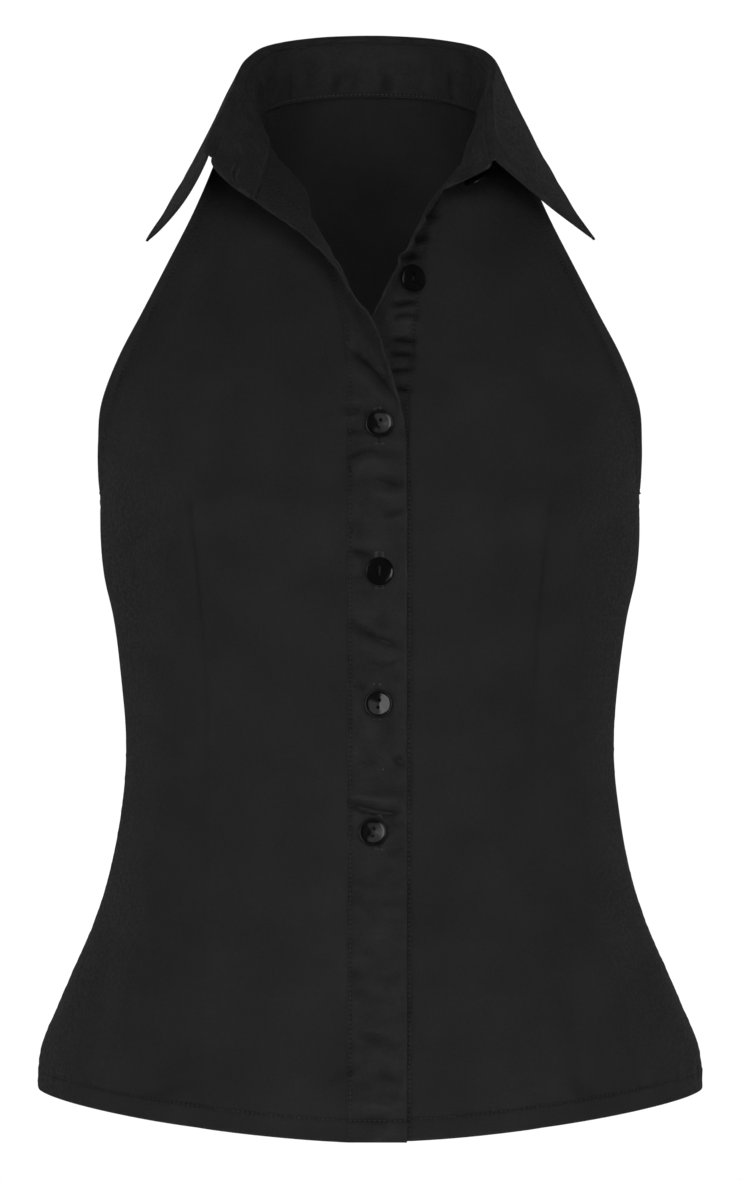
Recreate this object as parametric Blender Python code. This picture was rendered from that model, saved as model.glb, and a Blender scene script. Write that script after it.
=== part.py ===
"""Sleeveless fitted shirt with a halter-cut armhole, a pointed collar on a stand and a button front.

The shirt is shown filled out and open at the neck. Metres, +Z up, the front faces -Y.
The origin is the middle of the neck opening, level with the top of the shoulder seams.
"""

import bpy
import numpy as np
from mathutils import Matrix, Vector

CM = 0.01
MM = 0.001

# Cloth walls, as thick as the layers that each piece is made of.
PANEL_WALL = 1.3 * MM
PLACKET_WALL = 1.7 * MM
STAND_WALL = 2.2 * MM
FALL_WALL = 1.7 * MM
SEAM_GAP = 0.3 * MM

# Where the two front bands lap: each lies this far outside or inside the shared form.
LAP_STEP = 1.2 * MM
OVERLAP_STITCH_X = -1.18
OVERLAP_EDGE_X = 1.93
UNDERLAP_STITCH_X = 2.2
UNDERLAP_EDGE_X = -1.1

# Beside the bands the fronts part by that step too: how far sideways, and up to what height it fades.
LAP_REACH = 3.5
LAP_TOP_Z = -11.0
LAP_FADE = 4.0

# Hem, in centimetres: the side seams end higher than the middle of the front and the back.
HEM_SIDE_Z = -52.2
HEM_DROP = 1.95
HEM_CURVE = 1.55
HEM_HALF_WIDTH = 18.0
HEM_FADE_Z = -43.0
HEM_FADE_CURVE = 1.3

# The level of the underarm, and how far the rows dip in the middle there.
UNDERARM_Z = -20.2
BUST_DROP = 0.6
BUST_DROP_Z = -26.0

# The form's level sections are superellipses of this power, with fullness added over the bust.
ROUNDNESS = 2.3
BUST_FULLNESS = 1.1
BUST_X, BUST_Z = 8.7, -20.8
BUST_SPREAD_X, BUST_SPREAD_Z = 4.2, 4.8

# Front waist darts, and the softer pair of the back.
FRONT_DART_DEPTH = 1.3 * MM
BACK_DART_DEPTH = 0.91 * MM
DART_FADE_ROWS = 3

# How the chest's rows lean: up from the bust, in to the shoulders, and back to their two edges.
CHEST_LEAN = 0.22
CHEST_PULL = 0.64
EDGE_FALLOFF = 1.5
SMOOTHING = 6
SMOOTHING_KEEP = 0.6

# Where the bands stop lying on the form, as a share of the way from the bust to the neck.
BAND_LIFTS_OFF = 0.2

# The stand's front ends: how much of its height they lose, and how round they are.
STAND_END_LOSS = 0.93
STAND_END_ROUND = 2.2
NECK_MIDDLE = np.array((0.0, -1.0, 2.0))

# A seam's mitre is never longer than its wall's thickness over this.
MITRE_LEAST = 0.55

# Grid counts.
SKIRT_ROWS = 15
CHEST_ROWS = 10
DART_COLUMNS = 5
SIDE_COLUMNS = 6
NECK_COLUMNS = 8
SHOULDER_COLUMNS = 3
BAND_COLUMNS = 4
STAND_ROWS = 3
FALL_ROWS = 4
FINE_STEPS = 600
UNDERARM_CROWD = 1.3

# Size 24 line button: 15 mm across, dished inside a raised rim, two thread holes.
BUTTON_HOLE_RADIUS = 0.9 * MM
BUTTON_HOLE_SPACING = 3.4 * MM
BUTTON_SIDES = 24
BUTTON_HOLE_SIDES = 10
# Half section of a button, from the middle of its back to the middle of its face: radius and height, in mm.
BUTTON_SECTION = (
    (0.0, 0.0), (4.6, 0.0), (6.9, 0.45), (7.5, 1.15), (7.4, 1.9), (6.8, 2.3), (6.0, 2.2),
    (5.2, 1.75), (3.0, 1.45), (0.0, 1.4),
)
# Where the buttons sit, in centimetres, and how far their thread holds them off the cloth.
DONE_UP_BUTTONS = ((0.52, -16.64), (0.47, -24.23), (0.47, -31.2), (0.16, -38.04))
DONE_UP_LIFT = 0.09
OPEN_BUTTON = (2.1, -8.95)
OPEN_LIFT = 0.28
OPEN_TILT = np.array((0.42, 0.0, 0.0))
STAND_BUTTON = (5.6, -6.5, -3.2)
STAND_BUTTON_FACING = (0.47, 0.33, -0.8)

# The form in centimetres: z, half width, front depth, back depth.
FORM = np.array([
    (0.2, 6.5, 0.6, 7.4),
    (-1.4, 9.3, 3.5, 7.9),
    (-2.3, 10.5, 4.7, 8.2),
    (-3.4, 11.7, 5.65, 8.5),
    (-5.0, 13.3, 6.5, 8.8),
    (-7.5, 15.2, 7.65, 9.1),
    (-10.0, 16.4, 8.7, 9.4),
    (-13.0, 16.6, 9.85, 9.6),
    (-16.6, 15.7, 11.15, 9.6),
    (-20.2, 14.6, 12.25, 9.3),
    (-23.1, 14.59, 12.1, 8.8),
    (-27.0, 13.87, 10.95, 8.1),
    (-31.3, 13.34, 9.6, 7.7),
    (-34.2, 13.23, 9.2, 7.8),
    (-38.0, 13.6, 9.55, 8.6),
    (-42.1, 14.54, 10.4, 9.8),
    (-47.5, 16.8, 11.2, 11.2),
    (-50.3, 17.9, 11.6, 11.7),
    (-54.2, 17.9, 11.7, 11.9),
])

# The front waist darts: z, distance from the middle.
FRONT_DART = np.array([(-20.8, 9.4), (-27.0, 8.9), (-34.2, 8.55), (-42.0, 8.7), (-54.2, 9.1)])
BACK_DART = np.array([(-20.8, 7.6), (-34.2, 7.2), (-54.2, 8.2)])
# Heights of the middle of the back, above the underarm level.
BACK_MIDDLE_Z = (-16.0, -12.0, -8.0, -5.0, -2.5, 0.0)

# Armhole edges from the underarm to the tip of the shoulder: x, y, z.
FRONT_ARMHOLE = np.array([
    (14.6, 0.0, -20.2), (14.6, -1.3, -20.05), (14.6, -2.7, -19.4), (14.57, -4.2, -17.95), (14.5, -5.3, -16.6),
    (14.28, -6.2, -15.2), (13.95, -6.7, -14.1), (13.15, -6.8, -12.5), (11.8, -6.3, -9.85),
    (10.45, -5.2, -7.1), (9.66, -4.3, -5.45), (9.2, -3.6, -4.35), (8.7, -2.7, -3.1),
    (8.25, -1.2, -1.6), (7.95, 0.45, -0.55),
])
BACK_ARMHOLE = np.array([
    (14.6, 0.0, -20.2), (14.58, 1.3, -20.0), (14.45, 2.7, -19.2), (14.1, 4.3, -17.7), (13.4, 5.7, -15.7),
    (12.2, 6.9, -13.2), (10.9, 7.2, -10.6), (9.7, 6.7, -7.8), (8.7, 5.4, -4.9),
    (8.1, 3.3, -2.5), (7.95, 0.45, -0.55),
])

# Stitch lines of the two bands above the bust, where the neck is open: x, z on the form, and how far
# the line stands forward of the form.
OVERLAP_STITCH = np.array([
    (-1.18, -20.8, 0.0), (-1.18, -16.5, 0.0), (-1.2, -14.0, 0.0), (-1.3, -12.1, 0.0), (-2.1, -8.85, 0.0),
    (-3.2, -5.5, 0.3), (-4.62, -4.25, 0.9), (-5.77, -3.42, 0.8),
])
UNDERLAP_STITCH = np.array([
    (2.2, -20.8, 0.0), (2.1, -16.7, 0.0), (2.15, -14.3, 0.0), (2.4, -12.1, 0.0), (2.62, -10.2, 0.0),
    (2.8, -8.9, 0.0), (2.95, -7.9, 0.0), (3.15, -6.3, 0.0), (3.6, -4.9, 0.1), (4.3, -3.4, 0.2),
    (5.0, -2.3, 0.4),
])
# The roll of the open front: how far its first columns stand in toward the neck opening, by the share of
# the way from the bust to the neck seam.
ROLL_BY_HEIGHT = np.array([(0.0, 0.0), (0.55, 0.0), (0.68, 0.25), (0.8, 0.85), (0.9, 1.0), (1.0, 0.0)])
ROLL_BY_COLUMN = np.array([0.0, 0.8, 1.25, 1.15, 0.75, 0.35, 0.1])

# Free edges of the two bands above the bust: x, y, z. Both stand forward of the chest.
OVERLAP_EDGE = np.array([
    (1.93, -12.55, -20.8), (1.9, -12.0, -18.6), (1.86, -11.55, -17.0), (1.72, -11.45, -15.9),
    (1.26, -11.75, -14.4), (0.7, -12.0, -12.75), (0.03, -11.9, -11.0), (-0.85, -11.4, -9.9),
    (-1.75, -10.95, -8.35), (-2.71, -10.45, -7.4), (-3.33, -10.15, -6.8), (-4.34, -9.85, -6.05),
    (-5.19, -9.5, -5.36), (-6.1, -8.85, -4.7),
])
UNDERLAP_EDGE = np.array([
    (-1.1, -12.2, -20.8), (-1.1, -11.55, -18.6), (-1.05, -10.95, -17.0), (-1.0, -10.55, -15.9),
    (-0.85, -10.0, -14.2), (-0.5, -9.7, -12.6), (-0.02, -9.8, -11.1), (0.71, -10.05, -9.8),
    (1.32, -10.0, -8.6), (1.88, -9.7, -7.5), (2.44, -9.25, -6.65), (2.95, -8.7, -5.7),
    (3.3, -8.2, -5.0), (3.59, -7.75, -4.35), (3.8, -7.3, -4.03),
])
# How far each band runs on along the chest before it turns forward, from the bust to the neck.
OVERLAP_RUN = np.array([(0.0, 1.6), (0.25, 1.6), (0.45, 1.3), (0.7, 0.9), (1.0, 1.4)])
UNDERLAP_RUN = np.array([(0.0, 1.6), (0.35, 1.6), (0.6, 1.2), (0.8, 1.1), (1.0, 1.4)])

# Neck seam between the bands, by way of the shoulders and the middle of the back: x, y, z.
NECK_RIGHT = np.array([(-5.77, -5.85, -3.42), (-5.42, -3.2, -1.4), (-6.3, 0.5, 0.2)])
NECK_LEFT = np.array([(5.0, -4.75, -2.3), (5.3, -3.0, -1.3), (6.3, 0.5, 0.2)])
NECK_BACK = np.array([(0.0, 7.0, 2.1), (2.4, 6.6, 1.98), (4.4, 5.2, 1.6), (5.7, 3.0, 0.95), (6.3, 0.5, 0.2)])
SHOULDER_TIP = np.array((7.95, 0.45, -0.55))

# Top seam of the stand and outer edge of the fall at thirteen stations round the neck. Station 0
# is the overlap's free edge, 1 the centre front, 2 the stitch line, 4 the shoulder, 6 the back.
STAND_TOP = np.array([
    (-8.55, -9.4, -3.1), (-8.37, -8.0, -2.4), (-7.85, -6.3, -1.0), (-7.0, -4.1, 1.0), (-6.4, 0.2, 3.2),
    (-4.65, 4.8, 4.6), (0.0, 6.55, 5.15), (4.65, 4.8, 4.6), (6.4, 0.2, 3.2), (6.2, -4.0, 1.2),
    (6.15, -6.5, -0.85), (6.45, -7.8, -2.6), (6.25, -8.5, -3.1),
])
FALL_EDGE = np.array([
    (-12.2, -5.2, -7.6), (-12.0, -4.2, -6.6), (-11.2, -2.6, -5.2), (-10.3, -0.6, -3.4), (-8.95, 2.6, -1.2),
    (-6.1, 7.3, 0.1), (0.0, 8.9, 0.7), (6.1, 7.3, 0.1), (8.95, 2.6, -1.2), (10.3, -1.4, -3.6),
    (11.2, -3.7, -5.3), (12.0, -5.7, -6.6), (12.3, -6.6, -7.2),
])
# Outward swell of the fall halfway down, and the rise and width of the fold, at the same stations.
FALL_SWELL = np.array([
    (0.6, -0.9, -0.55), (0.6, -0.8, -0.5), (0.3, -0.5, -0.2), (0.1, -0.2, 0.05), (0.0, 0.3, 0.1),
    (-0.1, 0.5, 0.1), (0.0, 0.5, 0.1), (0.1, 0.5, 0.1), (0.0, 0.3, 0.1), (0.0, -0.2, 0.0),
    (0.0, -0.3, -0.1), (-0.1, -0.3, -0.2), (-0.1, -0.3, -0.2),
])
FOLD_RISE = np.array([0.5, 0.5, 0.5, 0.5, 0.42, 0.32, 0.28, 0.32, 0.42, 0.5, 0.5, 0.5, 0.5])
FOLD_WIDTH = np.array([0.45, 0.45, 0.45, 0.45, 0.42, 0.38, 0.38, 0.38, 0.42, 0.45, 0.45, 0.45, 0.45])


def spline(xs, ys, at):
    """Smooth curve through the points (xs, ys), read at the places in at."""
    xs = np.asarray(xs, float)
    ys = np.asarray(ys, float)
    at = np.clip(np.asarray(at, float), xs.min(), xs.max())
    if xs[0] > xs[-1]:
        xs = xs[::-1]
        ys = ys[::-1]
    step = np.diff(xs)
    shape = (-1,) + (1,) * (ys.ndim - 1)
    slope = np.diff(ys, axis=0) / step.reshape(shape)
    tangent = np.empty_like(ys)
    tangent[0] = slope[0]
    tangent[-1] = slope[-1]
    weight = step[:-1] / (step[:-1] + step[1:])
    tangent[1:-1] = slope[:-1] * (1 - weight).reshape(shape) + slope[1:] * weight.reshape(shape)
    i = np.clip(np.searchsorted(xs, at, side="right") - 1, 0, len(xs) - 2)
    t = ((at - xs[i]) / step[i]).reshape(np.shape(at) + (1,) * (ys.ndim - 1))
    h = step[i].reshape(t.shape)
    return (
        (2 * t**3 - 3 * t**2 + 1) * ys[i]
        + (t**3 - 2 * t**2 + t) * h * tangent[i]
        + (3 * t**2 - 2 * t**3) * ys[i + 1]
        + (t**3 - t**2) * h * tangent[i + 1]
    )


def lengths(points):
    """Distance along a line of points, from 0 at its first."""
    return np.concatenate([[0], np.cumsum(np.linalg.norm(np.diff(points, axis=0), axis=1))])


def resample(points, count, crowd=1.0):
    """The smooth curve through the points, cut into count lengths, equal or crowded to its start."""
    at = lengths(points)
    dense = spline(at, points, np.linspace(0, at[-1], FINE_STEPS))
    along = lengths(dense)
    marks = along[-1] * np.linspace(0, 1, count + 1) ** crowd
    return np.stack([np.interp(marks, along, axis) for axis in dense.T], axis=1)


def unit(v):
    return v / np.maximum(np.linalg.norm(v, axis=-1, keepdims=True), 1e-12)


def form_at(z):
    """Half width, front depth and back depth of the form at a height."""
    return spline(FORM[:, 0], FORM[:, 1:], z)


def bust(x, z):
    """Extra fullness over the bust, with the cloth bridging the middle."""
    side = (np.abs(x) - BUST_X) / BUST_SPREAD_X
    high = (z - BUST_Z) / BUST_SPREAD_Z
    return BUST_FULLNESS * np.exp(-side**2 - high**2)


def on_form(x, z, back):
    """The point of the form at x and z, on its front or its back."""
    width, front, rear = np.moveaxis(form_at(z), -1, 0)
    share = np.clip(1 - (np.abs(x) / width) ** ROUNDNESS, 0, 1) ** (1 / ROUNDNESS)
    y = rear * share if back else -(front * share) - bust(x, z) * np.minimum(share * 2, 1)
    return np.stack([x, y, z + 0 * x], axis=-1)


def level(z_side, x):
    """Height along a row: rows follow the curved hem and are level from the waist up to the bust."""
    fade = np.clip((HEM_FADE_Z - z_side) / (HEM_FADE_Z - HEM_SIDE_Z), 0, 1)
    rise = np.clip((z_side - BUST_DROP_Z) / (UNDERARM_Z - BUST_DROP_Z), 0, 1)
    middle = 1 - (np.abs(x) / HEM_HALF_WIDTH) ** HEM_CURVE
    return z_side - (HEM_DROP * fade**HEM_FADE_CURVE + BUST_DROP * rise) * middle


def skirt_row(z_side, x_start, dart, back):
    """One row from x_start to the side seam, in centimetres, with a column on the dart."""
    width = form_at(np.array([z_side]))[0, 0]
    turn = np.linspace(0, np.pi / 2, FINE_STEPS)
    x = width * np.sin(turn) ** (2 / ROUNDNESS)
    x = np.maximum.accumulate(np.concatenate([x[:-1], [width]]))
    dense = on_form(x, level(z_side, x), back)
    dense[:, 0] = x
    along = lengths(dense)
    start = np.interp(abs(x_start), x, along)
    middle = np.interp(spline(dart[:, 0], dart[:, 1], z_side), x, along)
    marks = np.concatenate([
        np.linspace(start, middle, DART_COLUMNS + 1),
        np.linspace(middle, along[-1], SIDE_COLUMNS + 1)[1:],
    ])
    row = np.stack([np.interp(marks, along, axis) for axis in dense.T], axis=1)
    row[-1] = (dense[-1, 0], 0.0, z_side)
    return row


def chest_rows(bottom, top, inner, outer):
    """Rows above the bottom row up to the top row, held to the inner and outer edges."""
    v = np.linspace(0, 1, CHEST_ROWS + 1)[1:, None, None]
    reach = np.linalg.norm(top - bottom, axis=1)[:, None]
    first = bottom + np.array((0.0, 0.0, CHEST_LEAN)) * reach
    second = bottom + (top - bottom) * CHEST_PULL
    rows = (1 - v) ** 3 * bottom + 3 * (1 - v) ** 2 * v * first + 3 * (1 - v) * v**2 * second + v**3 * top
    u = np.linspace(0, 1, len(bottom))[None, :, None]
    rows = rows + (inner[1:, None, :] - rows[:, :1]) * (1 - u) ** EDGE_FALLOFF
    rows = rows + (outer[1:, None, :] - rows[:, -1:]) * u**EDGE_FALLOFF
    whole = np.concatenate([bottom[None], rows])
    for _ in range(SMOOTHING):
        around = whole[:-2, 1:-1] + whole[2:, 1:-1] + whole[1:-1, :-2] + whole[1:-1, 2:]
        whole[1:-1, 1:-1] = whole[1:-1, 1:-1] * SMOOTHING_KEEP + around * (1 - SMOOTHING_KEEP) / 4
    return whole[1:]


def pressed(grid, depth_cm):
    """Presses the dart column in along its length, fading out at its upper point."""
    grid = grid.copy()
    fade = np.clip((SKIRT_ROWS - np.arange(SKIRT_ROWS + 1)) / DART_FADE_ROWS, 0, 1)[:, None]
    toward = -unit(grid[: SKIRT_ROWS + 1, DART_COLUMNS] * np.array((1.0, 1.0, 0.0)))
    grid[: SKIRT_ROWS + 1, DART_COLUMNS] += toward * fade * depth_cm
    return grid


def side_heights():
    """Heights of the skirt's rows at the side seam, hem to underarm."""
    return np.linspace(HEM_SIDE_Z, UNDERARM_Z, SKIRT_ROWS + 1)


def shoulder_seam(neck_end, tip):
    """Points of a shoulder seam after its neck end, out to its tip."""
    return neck_end + (tip - neck_end) * np.linspace(0, 1, SHOULDER_COLUMNS + 1)[1:, None]


def front_grid(side, stitch_x, stitch, neck):
    """Mid surface of one front, hem to neck in rows, band seam to side seam in columns. side is -1 or 1."""
    rows = np.array([skirt_row(z, abs(stitch_x), FRONT_DART, False) for z in side_heights()])
    rows[:, :, 0] *= side
    inner_line = on_form(stitch[:, 0], stitch[:, 1], False)
    inner_line[:, 1] -= stitch[:, 2]
    inner_line[0] = rows[-1, 0]
    inner_line[-1] = neck[0]
    inner = resample(inner_line, CHEST_ROWS)
    outer = resample(FRONT_ARMHOLE * np.array((side, 1, 1)), CHEST_ROWS, UNDERARM_CROWD)
    tip = SHOULDER_TIP * np.array((side, 1, 1))
    top = np.concatenate([resample(neck, NECK_COLUMNS), shoulder_seam(neck[-1], tip)])
    grid = np.concatenate([rows, chest_rows(rows[-1], top, inner, outer)])
    if side < 0:
        high = np.linspace(0, 1, CHEST_ROWS + 1)
        roll = spline(ROLL_BY_HEIGHT[:, 0], ROLL_BY_HEIGHT[:, 1], high)[:, None] * ROLL_BY_COLUMN
        grid[SKIRT_ROWS:, : len(ROLL_BY_COLUMN), 0] += np.clip(roll, 0, None)
    # The front that laps over stands off the form near its band, the one below sinks in.
    near = np.clip(1 - (np.abs(grid[:, :, 0]) - abs(stitch_x)) / LAP_REACH, 0, 1) ** 2
    low = np.clip((LAP_TOP_Z - grid[:, :, 2]) / LAP_FADE, 0, 1)
    grid[:, :, 1] += side * near * low * LAP_STEP / CM
    return pressed(grid, FRONT_DART_DEPTH / CM)


def back_grid():
    """Mid surface of the back in one piece, left side seam to right side seam in columns."""
    rows = np.array([skirt_row(z, 0.0, BACK_DART, True) for z in side_heights()])
    middle_z = np.array((level(UNDERARM_Z, 0.0), *BACK_MIDDLE_Z))
    middle = np.concatenate([on_form(0 * middle_z, middle_z, True), NECK_BACK[:1]])
    inner = resample(middle, CHEST_ROWS)
    outer = resample(BACK_ARMHOLE, CHEST_ROWS, UNDERARM_CROWD)
    top = np.concatenate([resample(NECK_BACK, NECK_COLUMNS), shoulder_seam(NECK_BACK[-1], SHOULDER_TIP)])
    half = np.concatenate([rows, chest_rows(rows[-1], top, inner, outer)])
    half = pressed(half, BACK_DART_DEPTH / CM)
    other = half[:, :0:-1] * np.array((-1, 1, 1))
    return np.concatenate([other, half], axis=1)


def band_grid(front, edge_x, edge, run, lift):
    """Mid surface of a front band: from the front's inner edge to the band's free edge."""
    line = front[:, 0]
    skirt = line[: SKIRT_ROWS + 1]
    low = on_form(np.full(len(skirt), edge_x), skirt[:, 2], False)
    low[:, 1] -= lift
    free = np.concatenate([low[:-1], resample(np.concatenate([low[-1:], edge[1:]]), CHEST_ROWS)])
    across = unit(front[:, 0] - front[:, 1])
    high = np.clip((np.arange(len(line)) - SKIRT_ROWS) / CHEST_ROWS, 0, 1)
    reach = spline(run[:, 0], run[:, 1], high)[:, None]
    bend = line + across * reach
    v = np.linspace(0, 1, BAND_COLUMNS + 1)[None, :, None]
    curve = (1 - v) ** 2 * line[:, None] + 2 * (1 - v) * v * bend[:, None] + v**2 * free[:, None]
    straight = line[:, None] * (1 - v) + free[:, None] * v
    straight[:, :, 1] = on_form(straight[:, :, 0], straight[:, :, 2], False)[:, :, 1] - lift
    mix = np.clip(1 - high / BAND_LIFTS_OFF, 0, 1)[:, None, None]
    grid = curve * (1 - mix) + straight * mix
    grid[:, 0] = line
    return grid


def grid_normals(grid):
    """Unit normals of a grid of points, by its rows and columns."""
    down = np.gradient(grid, axis=0)
    over = np.gradient(grid, axis=1)
    return unit(np.cross(over, down))


def away(grid, normals):
    """Normals that point away from the upright axis through the neck."""
    centre = grid * np.array((1.0, 1.0, 0.0))
    turn = np.sign(np.sum(normals * centre))
    return normals * turn


def blend_seam(first, second):
    """One offset direction for two walls that meet in a mitre, long enough to keep their thickness."""
    middle = unit(first + second)
    return middle / np.maximum(np.sum(middle * first, axis=-1, keepdims=True), MITRE_LEAST)


def pull_back(grid, *borders):
    """Moves the named borders of the grid in by half of the seam gap."""
    grid = grid.copy()
    half_gap = SEAM_GAP / CM / 2
    for border in borders:
        if border == "bottom":
            grid[0] += unit(grid[1] - grid[0]) * half_gap
        elif border == "top":
            grid[-1] += unit(grid[-2] - grid[-1]) * half_gap
        elif border == "first":
            grid[:, 0] += unit(grid[:, 1] - grid[:, 0]) * half_gap
        else:
            grid[:, -1] += unit(grid[:, -2] - grid[:, -1]) * half_gap
    return grid


def wall(name, grid, thick, offsets, material):
    """A closed sheet of even thickness on a grid of points in centimetres, made into an object."""
    rows, cols = grid.shape[:2]
    half = offsets * (thick / 2)
    points = np.concatenate([(grid * CM + half).reshape(-1, 3), (grid * CM - half).reshape(-1, 3)])
    index = np.arange(rows * cols).reshape(rows, cols)
    under = index + rows * cols
    faces = []
    for r in range(rows - 1):
        for c in range(cols - 1):
            faces.append((index[r, c], index[r, c + 1], index[r + 1, c + 1], index[r + 1, c]))
            faces.append((under[r, c], under[r + 1, c], under[r + 1, c + 1], under[r, c + 1]))
    ring = list(index[0, :]) + list(index[1:, -1]) + list(index[-1, -2::-1]) + list(index[-2:0:-1, 0])
    for a, b in zip(ring, ring[1:] + ring[:1]):
        faces.append((b, a, a + rows * cols, b + rows * cols))
    return add_object(name, points, faces, material)


def add_object(name, points, faces, material, smooth=True):
    """A mesh object whose faces look outwards."""
    mesh = bpy.data.meshes.new(name)
    mesh.from_pydata([tuple(map(float, p)) for p in points], [], [tuple(map(int, f)) for f in faces])
    mesh.validate()
    mesh.calc_loop_triangles()
    corners = np.array([[tuple(mesh.vertices[i].co) for i in t.vertices] for t in mesh.loop_triangles])
    if np.linalg.det(corners).sum() < 0:
        mesh.flip_normals()
    for polygon in mesh.polygons:
        polygon.use_smooth = smooth
    mesh.materials.append(material)
    made = bpy.data.objects.new(name, mesh)
    bpy.context.scene.collection.objects.link(made)
    return made


def plain_material(name, color, roughness):
    made = bpy.data.materials.new(name)
    made.use_nodes = True
    shader = made.node_tree.nodes["Principled BSDF"]
    shader.inputs["Base Color"].default_value = (*color, 1)
    shader.inputs["Roughness"].default_value = roughness
    return made


def cloth(name):
    return plain_material(name, (0.016, 0.016, 0.017), 0.85)


def button_mesh(material):
    """A turned button with its two thread holes cut right through, made once and used for every button."""
    points = [(0.0, 0.0, BUTTON_SECTION[0][1] * MM)]
    angles = np.linspace(0, 2 * np.pi, BUTTON_SIDES, endpoint=False)
    for r, h in BUTTON_SECTION[1:-1]:
        points += [(r * MM * np.cos(a), r * MM * np.sin(a), h * MM) for a in angles]
    points.append((0.0, 0.0, BUTTON_SECTION[-1][1] * MM))
    rings = len(BUTTON_SECTION) - 2
    faces = []
    for k in range(BUTTON_SIDES):
        n = (k + 1) % BUTTON_SIDES
        faces.append((0, 1 + n, 1 + k))
        for ring in range(rings - 1):
            a = 1 + ring * BUTTON_SIDES
            b = a + BUTTON_SIDES
            faces.append((a + k, a + n, b + n, b + k))
        last = 1 + (rings - 1) * BUTTON_SIDES
        faces.append((last + k, last + n, len(points) - 1))
    blank = add_object("button_blank", points, faces, material, smooth=False)
    for sign in (-1, 1):
        bpy.ops.mesh.primitive_cylinder_add(
            vertices=BUTTON_HOLE_SIDES, radius=BUTTON_HOLE_RADIUS, depth=6 * MM,
            location=(0, sign * BUTTON_HOLE_SPACING / 2, 1 * MM),
        )
        cutter = bpy.context.object
        hole = blank.modifiers.new("hole", "BOOLEAN")
        hole.operation = "DIFFERENCE"
        hole.solver = "EXACT"
        hole.object = cutter
        bpy.context.view_layer.objects.active = blank
        bpy.ops.object.modifier_apply(modifier="hole")
        bpy.data.objects.remove(cutter)
    mesh = blank.data
    bpy.data.objects.remove(blank)
    return mesh


def on_band(grid, normals, x, z):
    """The point of a band's mid surface at x and z, and the way it faces there."""
    best = np.argmin((grid[:, :, 0] - x) ** 2 + (grid[:, :, 2] - z) ** 2)
    r, c = np.unravel_index(best, grid.shape[:2])
    r = min(max(r, 1), grid.shape[0] - 2)
    c = min(max(c, 1), grid.shape[1] - 2)
    near = grid[r - 1 : r + 2, c - 1 : c + 2].reshape(-1, 3)
    plane = np.column_stack([near[:, 0], near[:, 2], np.ones(len(near))])
    slope_x, slope_z, level_y = np.linalg.lstsq(plane, near[:, 1], rcond=None)[0]
    spot = np.array((x, slope_x * x + slope_z * z + level_y, z))
    facing = unit(np.array((slope_x, -1.0, slope_z)))
    return spot, facing * np.sign(np.dot(facing, normals[r, c]))


def place_button(name, mesh, centre, facing, upward):
    """A button on the shared mesh: the middle of its back at centre, its face along facing."""
    out = Vector(facing).normalized()
    up = Vector(upward)
    up = (up - out * up.dot(out)).normalized()
    side = up.cross(out)
    button = bpy.data.objects.new(name, mesh)
    button.location = Vector(centre) * CM
    button.rotation_euler = Matrix((side, up, out)).transposed().to_euler()
    bpy.context.scene.collection.objects.link(button)


# Clear the scene.
for item in list(bpy.data.objects):
    bpy.data.objects.remove(item, do_unlink=True)

# Mid surfaces. The wearer's right front, at -X, laps over.
front_right = front_grid(-1, OVERLAP_STITCH_X, OVERLAP_STITCH, NECK_RIGHT)
front_left = front_grid(1, UNDERLAP_STITCH_X, UNDERLAP_STITCH, NECK_LEFT)
back = back_grid()
band_right = band_grid(front_right, OVERLAP_EDGE_X, OVERLAP_EDGE, OVERLAP_RUN, LAP_STEP / CM)
band_left = band_grid(front_left, UNDERLAP_EDGE_X, UNDERLAP_EDGE, UNDERLAP_RUN, -LAP_STEP / CM)

# The neck seam from free edge to free edge, through every column that ends on it.
SHOULDER = NECK_COLUMNS
back_middle = (back.shape[1] - 1) // 2
neck_seam = np.concatenate([
    band_right[-1, :0:-1],
    front_right[-1, : SHOULDER + 1],
    back[-1, back_middle - SHOULDER + 1 : back_middle + SHOULDER],
    front_left[-1, SHOULDER::-1],
    band_left[-1, 1:],
])
station = np.concatenate([
    np.linspace(0, 2, BAND_COLUMNS + 1)[:-1],
    np.linspace(2, 4, NECK_COLUMNS + 1),
    np.linspace(4, 8, 2 * NECK_COLUMNS + 1)[1:-1],
    np.linspace(8, 10, NECK_COLUMNS + 1),
    np.linspace(10, 12, BAND_COLUMNS + 1)[1:],
])

# Collar stand: up from the neck seam, its two front ends rounded off.
stations = np.arange(13.0)
stand_top = spline(stations, STAND_TOP, station)
past = np.clip(np.maximum(1 - station, station - 11), 0, 1)
share = np.sqrt(1 - (STAND_END_LOSS * past) ** STAND_END_ROUND)[:, None]
rise = np.linspace(0, 1, STAND_ROWS + 1)[:, None, None]
stand = neck_seam[None] + rise * (share * (stand_top - neck_seam))[None]
stand_normals = grid_normals(stand)

# Collar fall: on from the stand's top seam, over the fold and down to its pointed edge.
inside = (station >= 1) & (station <= 11)
seam = stand[-1, inside]
up = unit(stand[-1, inside] - stand[0, inside])
outward = stand_normals[-1, inside]
outward = outward * np.sign(np.sum(outward * (seam - NECK_MIDDLE), axis=1))[:, None]
edge = spline(stations, FALL_EDGE, station[inside])
swell = spline(stations, FALL_SWELL, station[inside])
fold_rise = np.interp(station[inside], stations, FOLD_RISE)[:, None]
fold_width = np.interp(station[inside], stations, FOLD_WIDTH)[:, None]
fold_up = seam + up * fold_rise * 0.6 + outward * fold_width * 0.1
fold_top = seam + up * fold_rise + outward * fold_width / 2
fold_down = seam + up * fold_rise * 0.5 + outward * fold_width
middle = (fold_down + edge) / 2 + swell
drop = np.linspace(0, 1, FALL_ROWS + 1)[1:, None, None]
falling = (1 - drop) ** 2 * fold_down + 2 * (1 - drop) * drop * middle + drop**2 * edge
fall = np.concatenate([seam[None], fold_up[None], fold_top[None], fold_down[None], falling])

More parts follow.
